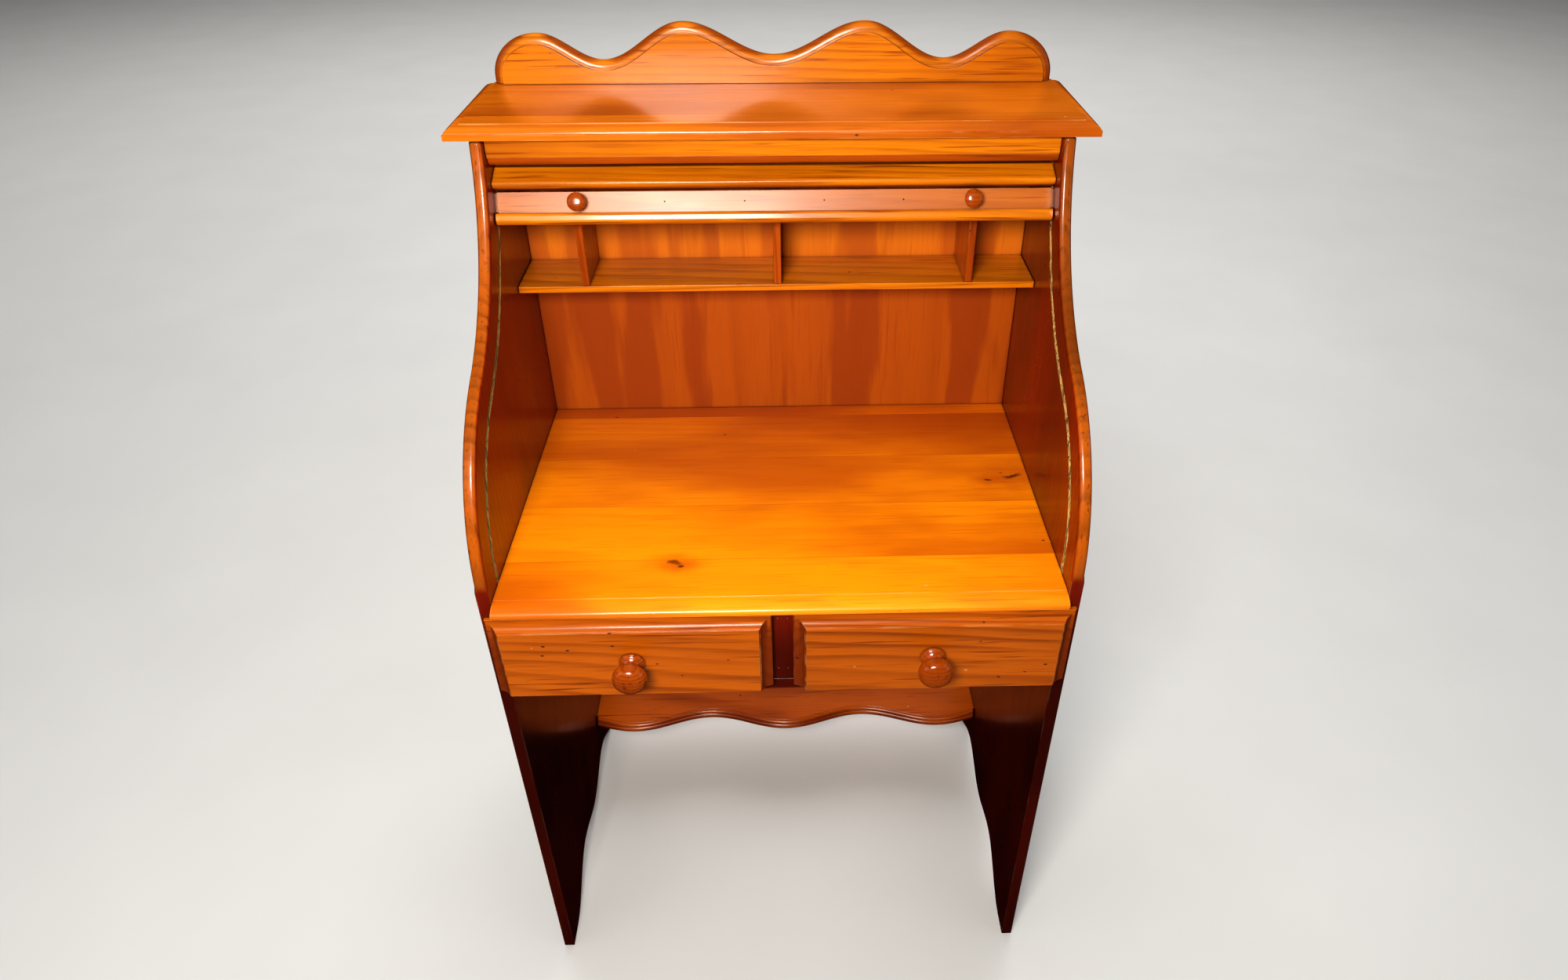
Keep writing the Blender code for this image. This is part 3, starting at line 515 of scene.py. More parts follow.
@dataclass(frozen=True)
class Canvas:
    """Plain-woven cotton canvas glued behind the slats."""

    name: str = "tambour_canvas"
    colour: Colour = (0.52, 0.43, 0.29)
    threads: float = 1400.0

    def material(self) -> bpy.types.Material:
        """Make the canvas's material, once.

        Returns:
            The woven cloth.
        """
        if self.name in bpy.data.materials:
            return bpy.data.materials[self.name]
        material = bpy.data.materials.new(self.name)
        material.use_nodes = True
        w = Wiring(material.node_tree)
        shader = material.node_tree.nodes["Principled BSDF"]
        x, y, z = w.split(w.add("ShaderNodeTexCoord").outputs["Object"])
        warp = w.math("SINE", w.math("MULTIPLY", x, self.threads))
        weft = w.math("SINE", w.math("MULTIPLY", w.math("ADD", y, z), self.threads))
        weave = w.fade(w.math("MULTIPLY", warp, weft), -1.0, 1.0)
        shade = tuple(channel * 0.6 for channel in self.colour)
        w.feed(shader.inputs["Base Color"], w.mix(weave, shade, self.colour))
        bump = w.add("ShaderNodeBump")
        bump.inputs["Distance"].default_value = 0.0003
        w.feed(bump.inputs["Height"], weave)
        w.feed(shader.inputs["Normal"], bump.outputs[0])
        shader.inputs["Roughness"].default_value = 0.9
        return material


# Gain of the brightened panel edges: partly painted light where they face the lamp.
EDGE_GAIN = (2.0, 8.0, 6.0)
HONEY_LIGHT = (0.70, 0.205, 0.002)
HONEY_DARK = (0.22, 0.034, 0.001)
VARNISHED = Timber("varnished_pine", HONEY_LIGHT, HONEY_DARK, rift=0.09, contrast=0.66, knots=0.03, wear=0.35,
                   specks=0.06)
SHADED = Timber("varnished_pine", (0.44, 0.082, 0.002), (0.15, 0.016, 0.001), rift=0.09, contrast=0.60,
                knots=0.0, wear=0.35, specks=0.05)
TOP_BOARDS = Timber("varnished_pine", (0.64, 0.160, 0.002), (0.28, 0.038, 0.001), stave=0.118, contrast=0.36,
                    blotch=0.66, knots=0.10, specks=0.05, spacing=0.011, roughness=0.34, wear=0.5, coat=0.45)
# The writing surface darkens towards the rear: painted shade, deeper inside the compartment.
WRITING_BOARDS = Timber("varnished_pine", (0.98, 0.290, 0.002), (0.46, 0.072, 0.001), stave=0.118,
                        contrast=0.26, blotch=0.72, figure=4.2, knots=0.0, specks=0.04, spacing=0.012,
                        roughness=0.34, wear=0.5,
                        shade=PaintedShade(1, 0.00, 0.27, (0.66, 0.50, 0.4)),
                        marks=((-0.1412, -0.1636, 0.778, 0.0085), (-0.1330, -0.1700, 0.778, 0.005),
                               (0.3380, 0.0187, 0.778, 0.014), (0.3050, 0.0120, 0.778, 0.006)))
DRAWER_FACE = Timber("varnished_pine", (0.50, 0.112, 0.002), (0.13, 0.015, 0.001), rift=0.17, spacing=0.0076,
                     contrast=0.68, blotch=0.25, knots=0.04, specks=0.30, roughness=0.32, wear=0.6,
                     end_grain=(0.02, 0.16), coat=0.12, specular=0.25)
# The panels darken below the writing surface, on the legs: partly their darker stain, partly painted shade
# under the desk.
RED_STAIN = Timber("stained_pine", (0.22, 0.012, 0.0006), (0.055, 0.003, 0.0003), pale=(0.42, 0.20, 0.09),
                   contrast=0.55, blotch=0.65, spacing=0.014, knots=0.06, specks=0.09, roughness=0.30,
                   wear=0.75, end_grain=(0.6, 1.2), edge_gain=1.0, coat=0.35, specular=0.25,
                   shade=PaintedShade(2, 0.79, 0.67, (0.36, 0.40, 0.70)))
PLYWOOD = Timber("stained_plywood", (0.64, 0.165, 0.002), (0.44, 0.088, 0.001), contrast=0.40, blotch=0.85,
                 figure=13.0, softness=0.09, spacing=0.060, pith=0.16, rift=0.0, knots=0.0, specks=0.02,
                 roughness=0.50, coat=0.0)
# The false back darkens low down: painted shade.
SHADED_PLYWOOD = replace(PLYWOOD, shade=PaintedShade(2, 1.06, 0.98, (0.66, 0.52, 0.5)))
BARE = Timber("bare_pine", (0.66, 0.40, 0.17), (0.38, 0.18, 0.07), pale=(0.75, 0.55, 0.33), contrast=0.5,
              blotch=0.2, knots=0.12, specks=0.03, roughness=0.62, coat=0.0, bump=0.6)
# Bare pine lining the groove, paler than BARE: raw wood, with painted light, as the groove sits in shade.
GROOVE_WALL = Timber("bare_pine", (0.98, 0.60, 0.18), (0.80, 0.38, 0.08), contrast=0.3, blotch=0.1, knots=0.0,
                     specks=0.0, roughness=0.70, coat=0.0, end_grain=(0.9, 1.9))
TURNED = Timber("knob_wood", (0.42, 0.078, 0.003), (0.10, 0.011, 0.001), pale=(0.45, 0.20, 0.07),
                spacing=0.005, pith=0.02, contrast=0.55, blotch=0.5, knots=0.0, specks=0.10, roughness=0.24,
                coat=0.6, wear=0.4,
                end_grain=(0.9, 1.8))
RAIL_FACE = Timber("varnished_pine", (0.52, 0.140, 0.010), (0.24, 0.045, 0.004), contrast=0.50, blotch=0.35,
                   knots=0.0, specks=0.10, roughness=0.40, coat=0.30, coat_roughness=0.30, wear=0.3)
ZINC = Metal("screw_steel", (0.62, 0.60, 0.54), 0.30)
NAIL = Metal("nail_steel", (0.50, 0.45, 0.38), 0.38)
PIN = Metal("dark_pin", (0.05, 0.03, 0.02), 0.50)


# ---- mesh making ---------------------------------------------------------------------------------
def lerp(a: float, b: float, t: float) -> float:
    """Return the value a share t of the way from a to b."""
    return a + (b - a) * t


def swing(a: float, b: float, t: float) -> float:
    """Return half a cosine wave from a to b."""
    return lerp(a, b, (1 - math.cos(math.pi * t)) / 2)


def arc(start: Point2, end: Point2, bulge: bool, count: int) -> list[Point2]:
    """A quarter ellipse from start to end, without its start.

    Args:
        start: First point.
        end: Last point.
        bulge: Leave the start along the second axis rather than the first.
        count: Number of points.

    Returns:
        The points after the start.
    """
    points = []
    for i in range(1, count + 1):
        turn = math.pi / 2 * i / count
        quick, slow = math.sin(turn), 1 - math.cos(turn)
        u, v = (slow, quick) if bulge else (quick, slow)
        points.append((lerp(start[0], end[0], u), lerp(start[1], end[1], v)))
    return points


def loft(rings: Sequence[Sequence[Sequence[float]]]) -> bmesh.types.BMesh:
    """A closed solid through rings of points, capped at both ends.

    Args:
        rings: Closed rings with the same number of points.

    Returns:
        The solid, with its faces outwards.
    """
    bm = bmesh.new()
    loops = [[bm.verts.new(point) for point in ring] for ring in rings]
    count = len(loops[0])
    for lower, upper in zip(loops, loops[1:]):
        for i in range(count):
            j = (i + 1) % count
            bm.faces.new((lower[i], lower[j], upper[j], upper[i]))
    bm.faces.new(loops[0])
    bm.faces.new(loops[-1])
    bmesh.ops.recalc_face_normals(bm, faces=bm.faces)
    return bm


def turned(profile: Sequence[Point2], sides: int = 64) -> bmesh.types.BMesh:
    """Turn a profile about Z.

    Args:
        profile: (radius, height) points that start and end on the axis.
        sides: Flats round the turning.

    Returns:
        The closed solid.
    """
    bm = bmesh.new()
    loops = []
    for radius, height in profile:
        if radius < 1e-6:
            loops.append([bm.verts.new((0, 0, height))])
            continue
        turn = [2 * math.pi * i / sides for i in range(sides)]
        loops.append([bm.verts.new((radius * math.cos(a), radius * math.sin(a), height)) for a in turn])
    for lower, upper in zip(loops, loops[1:]):
        for i in range(sides):
            j = (i + 1) % sides
            if len(lower) == 1:
                bm.faces.new((lower[0], upper[j], upper[i]))
            elif len(upper) == 1:
                bm.faces.new((lower[i], lower[j], upper[0]))
            else:
                bm.faces.new((lower[i], lower[j], upper[j], upper[i]))
    bmesh.ops.recalc_face_normals(bm, faces=bm.faces)
    return bm


def inset_outline(points: Sequence[Point2], depths: Sequence[float]) -> list[Point2]:
    """Move the points of a closed outline inwards.

    Args:
        points: The outline.
        depths: How far each point moves.

    Returns:
        The moved outline.
    """
    count = len(points)
    area = sum(points[i - 1][0] * points[i][1] - points[i][0] * points[i - 1][1] for i in range(count))
    hand = 1.0 if area > 0 else -1.0
    moved = []
    for i, (depth, point) in enumerate(zip(depths, points)):
        here = Vector(point)
        before = (here - Vector(points[i - 1])).normalized()
        after = (Vector(points[(i + 1) % count]) - here).normalized()
        inward = Vector((-before.y - after.y, before.x + after.x)) * hand
        half = max(inward.length / 2, 0.35)
        moved.append(tuple(here + inward.normalized() * (depth / half)))
    return moved


def node_copy(name: str) -> bmesh.types.BMesh:
    """A CAD node's solid with its triangles merged back into flat faces.

    Args:
        name: The node.

    Returns:
        The merged copy.
    """
    bm = bmesh.new()
    bm.from_mesh(frame["nodes"][name].data)
    bmesh.ops.remove_doubles(bm, verts=bm.verts, dist=1e-6)
    bmesh.ops.dissolve_limit(bm, angle_limit=math.radians(1), verts=bm.verts, edges=bm.edges)
    return bm


def plain_mesh(obj: bpy.types.Object) -> bpy.types.Object:
    """Apply an object's modifiers and drop them.

    Args:
        obj: The object.

    Returns:
        The same object with a plain mesh.
    """
    bpy.context.view_layer.update()
    graph = bpy.context.evaluated_depsgraph_get()
    mesh = bpy.data.meshes.new_from_object(obj.evaluated_get(graph), preserve_all_data_layers=True,
                                           depsgraph=graph)
    obj.modifiers.clear()
    obj.data = mesh
    return obj


@dataclass
class Bench:
    """Turns raw solids into finished pieces and fixes them to the frame."""

    seed: float = 0.0

    def piece(self, name: str, bm: bmesh.types.BMesh, node: str, timber: Timber, lay: Lay,
              arris: float = 0.0007, cutters: Sequence[bpy.types.Object] = (),
              limit: float = 40.0) -> bpy.types.Object:
        """Finish one wooden piece in place of its CAD node.

        Args:
            name: The piece's name.
            bm: Its solid.
            node: The CAD node that it stands for.
            timber: What it is made of.
            lay: How its grain runs.
            arris: Width that its sharp edges are eased by.
            cutters: Objects cut out of it; their material lines the cut.
            limit: Edges sharper than this many degrees are eased.

        Returns:
            The finished piece.
        """
        self.seed += 0.731
        low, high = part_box(node)
        obj = self.body(name, bm, timber.board(name, lay, (Vector(low) + Vector(high)) / 2, self.seed))
        for cutter in cutters:
            cut = obj.modifiers.new("cut", "BOOLEAN")
            cut.object = cutter
            cut.material_mode = "TRANSFER"
        if arris > 0:
            ease = obj.modifiers.new("ease", "BEVEL")
            ease.width = arris
            ease.segments = 3
            ease.limit_method = "ANGLE"
            ease.angle_limit = math.radians(limit)
            ease.miter_outer = "MITER_ARC"
        shading = obj.modifiers.new("shading", "WEIGHTED_NORMAL")
        shading.keep_sharp = True
        plain_mesh(obj)
        for cutter in cutters:
            bpy.data.objects.remove(cutter)
        return self.fix(obj, node, timber.slot)

    @staticmethod
    def body(name: str, bm: bmesh.types.BMesh, material: bpy.types.Material) -> bpy.types.Object:
        """Turn a bmesh into a smooth-shaded object.

        Args:
            name: Name of the object.
            bm: Mesh, freed afterwards.
            material: Finish of all its faces.

        Returns:
            The object, linked into the scene.
        """
        mesh = bpy.data.meshes.new(name)
        bm.to_mesh(mesh)
        bm.free()
        mesh.materials.append(material)
        mesh.shade_smooth()
        obj = bpy.data.objects.new(name, mesh)
        bpy.context.scene.collection.objects.link(obj)
        return obj

    @staticmethod
    def fix(obj: bpy.types.Object, node: str, slot: str) -> bpy.types.Object:
        """Fix a piece to the body of the CAD node that it stands for.

        Args:
            obj: Finished piece.
            node: Node that it replaces.
            slot: Material slot of that node; not used.

        Returns:
            The piece.
        """
        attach(obj, BODY_OF[node])
        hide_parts(node)
        LOG.info("%s stands for %s (%d faces)", obj.name, node, len(obj.data.polygons))
        return obj

    @staticmethod
    def add(obj: bpy.types.Object, body: str, slot: str) -> bpy.types.Object:
        """Fix an extra piece to a body."""
        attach(obj, body)
        LOG.info("%s rides on %s (%d faces)", obj.name, body, len(obj.data.polygons))
        return obj


def body_of_nodes() -> dict[str, str]:
    """Return the body that each CAD node belongs to."""
    bodies = frame["record"]["behaviour"]["bodies"]
    return {node: body for body, nodes in bodies.items() for node in nodes}


BODY_OF = body_of_nodes()


# ---- the desk's driving lines --------------------------------------------------------------------
@dataclass(frozen=True)
class DeskLines:
    """Main sizes read off the frame, and the S curve and track that follow from them."""

    inner: float
    half: float
    board: float
    front: float
    rear: float
    top_z: float
    desk_z: float
    lower_radius: float = 0.252
    upper_radius: float = 0.313
    centre_rise: float = 0.013
    shoulder: float = 0.322
    track_inset: float = 0.043
    track_width: float = 0.010
    track_depth: float = 0.007
    bend_radius: float = 0.080
    open_drop: float = 0.0740
    pitch: float = 0.032

    @staticmethod
    def from_frame() -> "DeskLines":
        """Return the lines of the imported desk."""
        low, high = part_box("side_panel_right")
        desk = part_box("writing_surface")[1]
        return DeskLines(low[0], high[0], high[0] - low[0], low[1], high[1], high[2], desk[2])

    @property
    def lower_centre(self) -> Vector:
        """Centre of the convex arc, as (y, z)."""
        return Vector((self.front + self.lower_radius, self.desk_z + self.centre_rise))

    @property
    def upper_centre(self) -> Vector:
        """Centre of the concave arc.

        Returns:
            The centre as (y, z), from the circles about the shoulder and the convex arc's centre.
        """
        top = Vector((self.front + self.shoulder, self.top_z))
        reach = self.lower_radius + self.upper_radius
        span = (top - self.lower_centre).length
        along = (reach ** 2 - self.upper_radius ** 2 + span ** 2) / (2 * span)
        aside = math.sqrt(reach ** 2 - along ** 2)
        unit = (top - self.lower_centre).normalized()
        return self.lower_centre + unit * along + Vector((-unit.y, unit.x)) * aside

    @staticmethod
    def outward(slope: float) -> Vector:
        """Return the room-side normal of a line that rises towards the back at a slope."""
        return Vector((-math.sin(slope), math.cos(slope)))

    @property
    def turn_angle(self) -> float:
        """Slope where the two arcs meet."""
        run = self.upper_centre - self.lower_centre
        return math.atan2(-run.x, run.y)

    def s_edge(self, step: float) -> list[Vector]:
        """Draw the S edge from the top board down to the square edge.

        Args:
            step: Largest turn between two points, in radians.

        Returns:
            The points as (y, z).
        """
        centre = self.upper_centre
        steepest = math.atan2(self.front + self.shoulder - centre.x, centre.y - self.top_z)
        points = []
        count = math.ceil((steepest - self.turn_angle) / step)
        for i in range(count):
            slope = lerp(steepest, self.turn_angle, i / count)
            points.append(centre - self.outward(slope) * self.upper_radius)
        count = math.ceil((math.pi / 2 - self.turn_angle) / step)
        for i in range(count + 1):
            slope = lerp(self.turn_angle, math.pi / 2, i / count)
            points.append(self.lower_centre + self.outward(slope) * self.lower_radius)
        return points

    def track(self, s: float) -> tuple[Vector, float]:
        """Place and slope on the tambour's track.

        Args:
            s: Distance in front of the end of the bend.

        Returns:
            The (y, z) place and the slope there.
        """
        upper = self.upper_radius + self.track_inset
        lower = self.lower_radius - self.track_inset
        centre = self.upper_centre
        opened = math.acos((centre.y - self.top_z + self.open_drop) / upper)
        bend = centre - self.outward(opened) * (upper + self.bend_radius)
        bend_length = self.bend_radius * (opened + math.pi / 2)
        concave = upper * (opened - self.turn_angle)
        if s < -bend_length:
            return Vector((bend.x + self.bend_radius, bend.y + s + bend_length)), -math.pi / 2
        if s < 0:
            slope = opened + s / self.bend_radius
            return bend + self.outward(slope) * self.bend_radius, slope
        if s < concave:
            slope = opened - s / upper
            return centre - self.outward(slope) * upper, slope
        slope = min(self.turn_angle + (s - concave) / lower, math.pi / 2)
        return self.lower_centre + self.outward(slope) * lower, slope


LINES = DeskLines.from_frame()


# ---- repeated pieces made by node trees ----------------------------------------------------------
class GeometryTree:
    """A geometry node tree with named inputs, used as a modifier and then baked."""

    def __init__(self, name: str, inputs: Iterable[tuple[str, str]]) -> None:
        """Start the tree.

        Args:
            name: The tree's name.
            inputs: (name, socket type) of each input.
        """
        self.tree = bpy.data.node_groups.new(name, "GeometryNodeTree")
        self.keys: dict[str, str] = {}
        for socket_name, kind in inputs:
            socket = self.tree.interface.new_socket(socket_name, in_out="INPUT", socket_type=kind)
            self.keys[socket_name] = socket.identifier
        self.tree.interface.new_socket("Geometry", in_out="OUTPUT", socket_type="NodeSocketGeometry")
        self.wiring = Wiring(self.tree)
        self.given = self.wiring.add("NodeGroupInput").outputs
        self.end = self.wiring.add("NodeGroupOutput").inputs[0]

    def finish(self, shapes: Sequence[Socket]) -> None:
        """Join the shapes, realise their instances and send them out.

        Args:
            shapes: Geometry sockets, each with its material set.
        """
        w = self.wiring
        joined = w.add("GeometryNodeJoinGeometry")
        for shape in reversed(shapes):
            w.feed(joined.inputs[0], shape)
        real = w.add("GeometryNodeRealizeInstances")
        w.feed(real.inputs[0], joined.outputs[0])
        w.feed(self.end, real.outputs[0])

    def painted(self, shape: Socket, material: Socket) -> Socket:
        """Return a shape with its material set."""
        node = self.wiring.add("GeometryNodeSetMaterial")
        self.wiring.feed(node.inputs["Geometry"], shape)
        self.wiring.feed(node.inputs["Material"], material)
        return node.outputs[0]

    def bake(self, name: str, values: dict[str, object]) -> bpy.types.Object:
        """Run the tree on an empty mesh.

        Args:
            name: Name of the piece.
            values: A value for each input.

        Returns:
            The piece as a plain mesh.
        """
        obj = bpy.data.objects.new(name, bpy.data.meshes.new(name))
        bpy.context.scene.collection.objects.link(obj)
        modifier = obj.modifiers.new("tree", "NODES")
        modifier.node_group = self.tree
        for key, value in values.items():
            modifier[self.keys[key]] = value
        return plain_mesh(obj)


class SlatTree(GeometryTree):
    """One tambour slat: a rounded bar across the desk with a strip of canvas glued behind it."""

    def __init__(self) -> None:
        """Build the tree."""
        super().__init__("slat", (("Half Length", "NodeSocketFloat"), ("Width", "NodeSocketFloat"),
                                  ("Thickness", "NodeSocketFloat"), ("Front Round", "NodeSocketFloat"),
                                  ("Back Round", "NodeSocketFloat"), ("Middle", "NodeSocketFloat"),
                                  ("Place", "NodeSocketVector"), ("Slope", "NodeSocketFloat"),
                                  ("Wood", "NodeSocketMaterial"), ("Canvas", "NodeSocketMaterial")))
        w, given = self.wiring, self.given
        section = w.add("GeometryNodeCurvePrimitiveQuadrilateral")
        w.feed(section.inputs[0], given["Width"])
        w.feed(section.inputs[1], given["Thickness"])
        corner = w.split(w.add("GeometryNodeInputPosition").outputs[0])[1]
        front = w.math("LESS_THAN", corner, 0.0)
        radius = w.math("ADD", w.math("MULTIPLY", front, given["Front Round"]),
                        w.math("MULTIPLY", w.math("SUBTRACT", 1.0, front), given["Back Round"]))
        rounded = w.add("GeometryNodeFilletCurve")
        rounded.mode = "POLY"
        w.feed(rounded.inputs["Curve"], section.outputs[0])
        w.feed(rounded.inputs["Radius"], radius)
        rounded.inputs["Count"].default_value = 8
        line = w.add("GeometryNodeCurvePrimitiveLine")
        w.feed(line.inputs["Start"], w.join(w.math("MULTIPLY", given["Half Length"], -1.0), 0.0, 0.0))
        w.feed(line.inputs["End"], w.join(given["Half Length"], 0.0, 0.0))
        swept = w.add("GeometryNodeCurveToMesh")
        w.feed(swept.inputs["Curve"], line.outputs[0])
        w.feed(swept.inputs["Profile Curve"], rounded.outputs[0])
        swept.inputs["Fill Caps"].default_value = True
        bar = self._placed(swept.outputs[0], given["Middle"])
        canvas = w.add("GeometryNodeMeshCube")
        w.feed(canvas.inputs["Size"], w.join(w.math("MULTIPLY", given["Half Length"], 1.96),
                                             w.math("MULTIPLY", given["Width"], 0.97), 0.0004))
        back = w.math("SUBTRACT", given["Middle"], w.math("MULTIPLY_ADD", given["Thickness"], 0.5, 0.0003))
        strip = self._placed(canvas.outputs[0], back)
        self.finish((self.painted(bar, given["Wood"]), self.painted(strip, given["Canvas"])))

    def _placed(self, shape: Socket, lift: Socket) -> Socket:
        """Lift a shape off the track and lay it at its place and slope.

        Args:
            shape: Geometry made about the origin.
            lift: Height off the track's middle line.

        Returns:
            The placed geometry.
        """
        w, given = self.wiring, self.given
        raised = w.add("GeometryNodeTransform")
        w.feed(raised.inputs["Geometry"], shape)
        w.feed(raised.inputs["Translation"], w.join(0.0, 0.0, lift))
        laid = w.add("GeometryNodeTransform")
        w.feed(laid.inputs["Geometry"], raised.outputs[0])
        w.feed(laid.inputs["Translation"], given["Place"])
        w.feed(laid.inputs["Rotation"], w.join(given["Slope"], 0.0, 0.0))
        return laid.outputs[0]


class NailTree(GeometryTree):
    """A row of small domed nail heads, each turned a little differently."""

    def __init__(self) -> None:
        """Build the tree."""
        super().__init__("nail_row", (("Count", "NodeSocketInt"), ("Start", "NodeSocketVector"),
                                      ("Step", "NodeSocketVector"), ("Facing", "NodeSocketVector"),
                                      ("Radius", "NodeSocketFloat"), ("Proud", "NodeSocketFloat"),
                                      ("Metal", "NodeSocketMaterial")))
        w, given = self.wiring, self.given
        row = w.add("GeometryNodeMeshLine")
        w.feed(row.inputs["Count"], given["Count"])
        w.feed(row.inputs["Start Location"], given["Start"])
        w.feed(row.inputs["Offset"], given["Step"])
        head = w.add("GeometryNodeMeshUVSphere")
        head.inputs["Segments"].default_value = 12
        head.inputs["Rings"].default_value = 8
        w.feed(head.inputs["Radius"], given["Radius"])
        flat = w.add("GeometryNodeTransform")
        w.feed(flat.inputs["Geometry"], head.outputs[0])
        w.feed(flat.inputs["Scale"], w.join(1.0, 1.0, w.math("DIVIDE", given["Proud"], given["Radius"])))
        chance = w.add("FunctionNodeRandomValue", data_type="FLOAT_VECTOR")
        chance.inputs["Min"].default_value = (-0.12, -0.12, -0.12)
        chance.inputs["Max"].default_value = (0.12, 0.12, 0.12)
        chance.inputs["Seed"].default_value = 11
        placed = w.add("GeometryNodeInstanceOnPoints")
        w.feed(placed.inputs["Points"], row.outputs[0])
        w.feed(placed.inputs["Instance"], flat.outputs[0])
        w.feed(placed.inputs["Rotation"], w.vector("ADD", given["Facing"], chance.outputs[0]))
        self.finish((self.painted(placed.outputs[0], given["Metal"]),))



# ---- carcass -------------------------------------------------------------------------------------
@dataclass
class SidePanel:
    """A side panel: S-shaped front edge, tambour groove and scalloped foot line."""

    bench: Bench
    side: int
    edge_round: float = 0.0065
    arris: float = 0.0007
    stop_rise: float = 0.028
    stop_fade: float = 0.008
    foot: float = 0.035
    scallop_high: float = 0.056
    scallop_low: float = 0.034
    scallop_half: float = 0.1025
    segments: int = 7

    def scallop(self, count: int = 28) -> list[Point2]:
        """Draw the lower edge between the feet.

        Args:
            count: Points to each swing.

        Returns:
            The (y, z) points from the front foot to the rear one.
        """
        low, high = LINES.front, LINES.rear
        middle = (low + high) / 2
        marks = [(low + self.foot, 0.0), (middle - self.scallop_half, self.scallop_high),
                 (middle, self.scallop_low), (middle + self.scallop_half, self.scallop_high),
                 (high - self.foot, 0.0)]
        points = []
        for (y0, z0), (y1, z1) in zip(marks, marks[1:]):
            points += [(lerp(y0, y1, i / count), swing(z0, z1, i / count)) for i in range(count)]
        return points + [marks[-1]]

    def outline(self) -> tuple[list[Point2], list[float]]:
        """Draw the panel.

        Returns:
            The outline in (y, z), and the rounding of its edge at each point.
        """
        points: list[Point2] = []
        rounds: list[float] = []
        stop = LINES.desk_z + self.stop_rise
        for point in LINES.s_edge(math.radians(1.0)):
            share = min(max((point.y - stop) / self.stop_fade + 1, 0.0), 1.0)
            points.append((point.x, point.y))
            rounds.append(lerp(self.arris, self.edge_round, math.sin(share * math.pi / 2)))
        plain = [(LINES.front, 0.0)] + self.scallop() + [(LINES.rear, 0.0), (LINES.rear, LINES.top_z)]
        return points + plain, rounds + [self.arris] * len(plain)

    def solid(self) -> bmesh.types.BMesh:
        """Make the panel with both arrises rounded.

        Returns:
            The closed solid.
        """
        points, rounds = self.outline()
        turns = [math.pi / 2 * i / self.segments for i in range(self.segments + 1)]
        rings = []
        for inward in (True, False):
            for turn in turns if inward else reversed(turns):
                drawn = inset_outline(points, [r * (1 - math.sin(turn)) for r in rounds])
                ring = []
                for (y, z), r in zip(drawn, rounds):
                    depth = r * (1 - math.cos(turn))
                    x = LINES.inner + depth if inward else LINES.half - depth
                    ring.append((self.side * x, y, min(z, LINES.top_z)))
                rings.append(ring)
        return loft(rings)

    def groove(self, material: bpy.types.Material, step: float = 0.004) -> bpy.types.Object:
        """Make the cutter of the tambour groove.

        Args:
            material: Bare wood that lines the groove.
            step: Largest length of track between two points.

        Returns:
            The cutter.
        """
        upper = LINES.upper_radius + LINES.track_inset
        lower = LINES.lower_radius - LINES.track_inset
        opened = LINES.track(0.0)[1]
        concave = upper * (opened - LINES.turn_angle)
        bend = LINES.bend_radius * (opened + math.pi / 2)
        end = concave + lower * (math.pi / 2 - LINES.turn_angle)
        rear_z = LINES.track(-bend)[0].y - (LINES.desk_z + 0.022)
        count = math.ceil((end + bend) / step)
        run = [LINES.track(-bend - rear_z)] + [LINES.track(lerp(-bend, end, i / count))
                                               for i in range(count + 1)]
        run.append((Vector((LINES.front + LINES.track_inset, LINES.desk_z + GAP)), math.pi / 2))
        half = LINES.track_width / 2
        front = [p + LINES.outward(a) * half for p, a in run]
        back = [p - LINES.outward(a) * half for p, a in run]
        edge = front + back[::-1]
        rings = [[(self.side * x, p.x, p.y) for p in edge]
                 for x in (LINES.inner - 0.004, LINES.inner + LINES.track_depth)]
        return self.bench.body("groove", loft(rings), material)

    def build(self) -> None:
        """Make the panel and fix it to the carcass."""
        node = "side_panel_left" if self.side < 0 else "side_panel_right"
        bare = GROOVE_WALL.board(f"{node}_groove", Lay.STANDING_SIDE, Vector((0, 0, 0)), 0.3 * self.side)
        self.bench.piece(f"{node}_shaped", self.solid(), node, RED_STAIN, Lay.STANDING_SIDE, arris=0.0,
                         cutters=(self.groove(bare),))


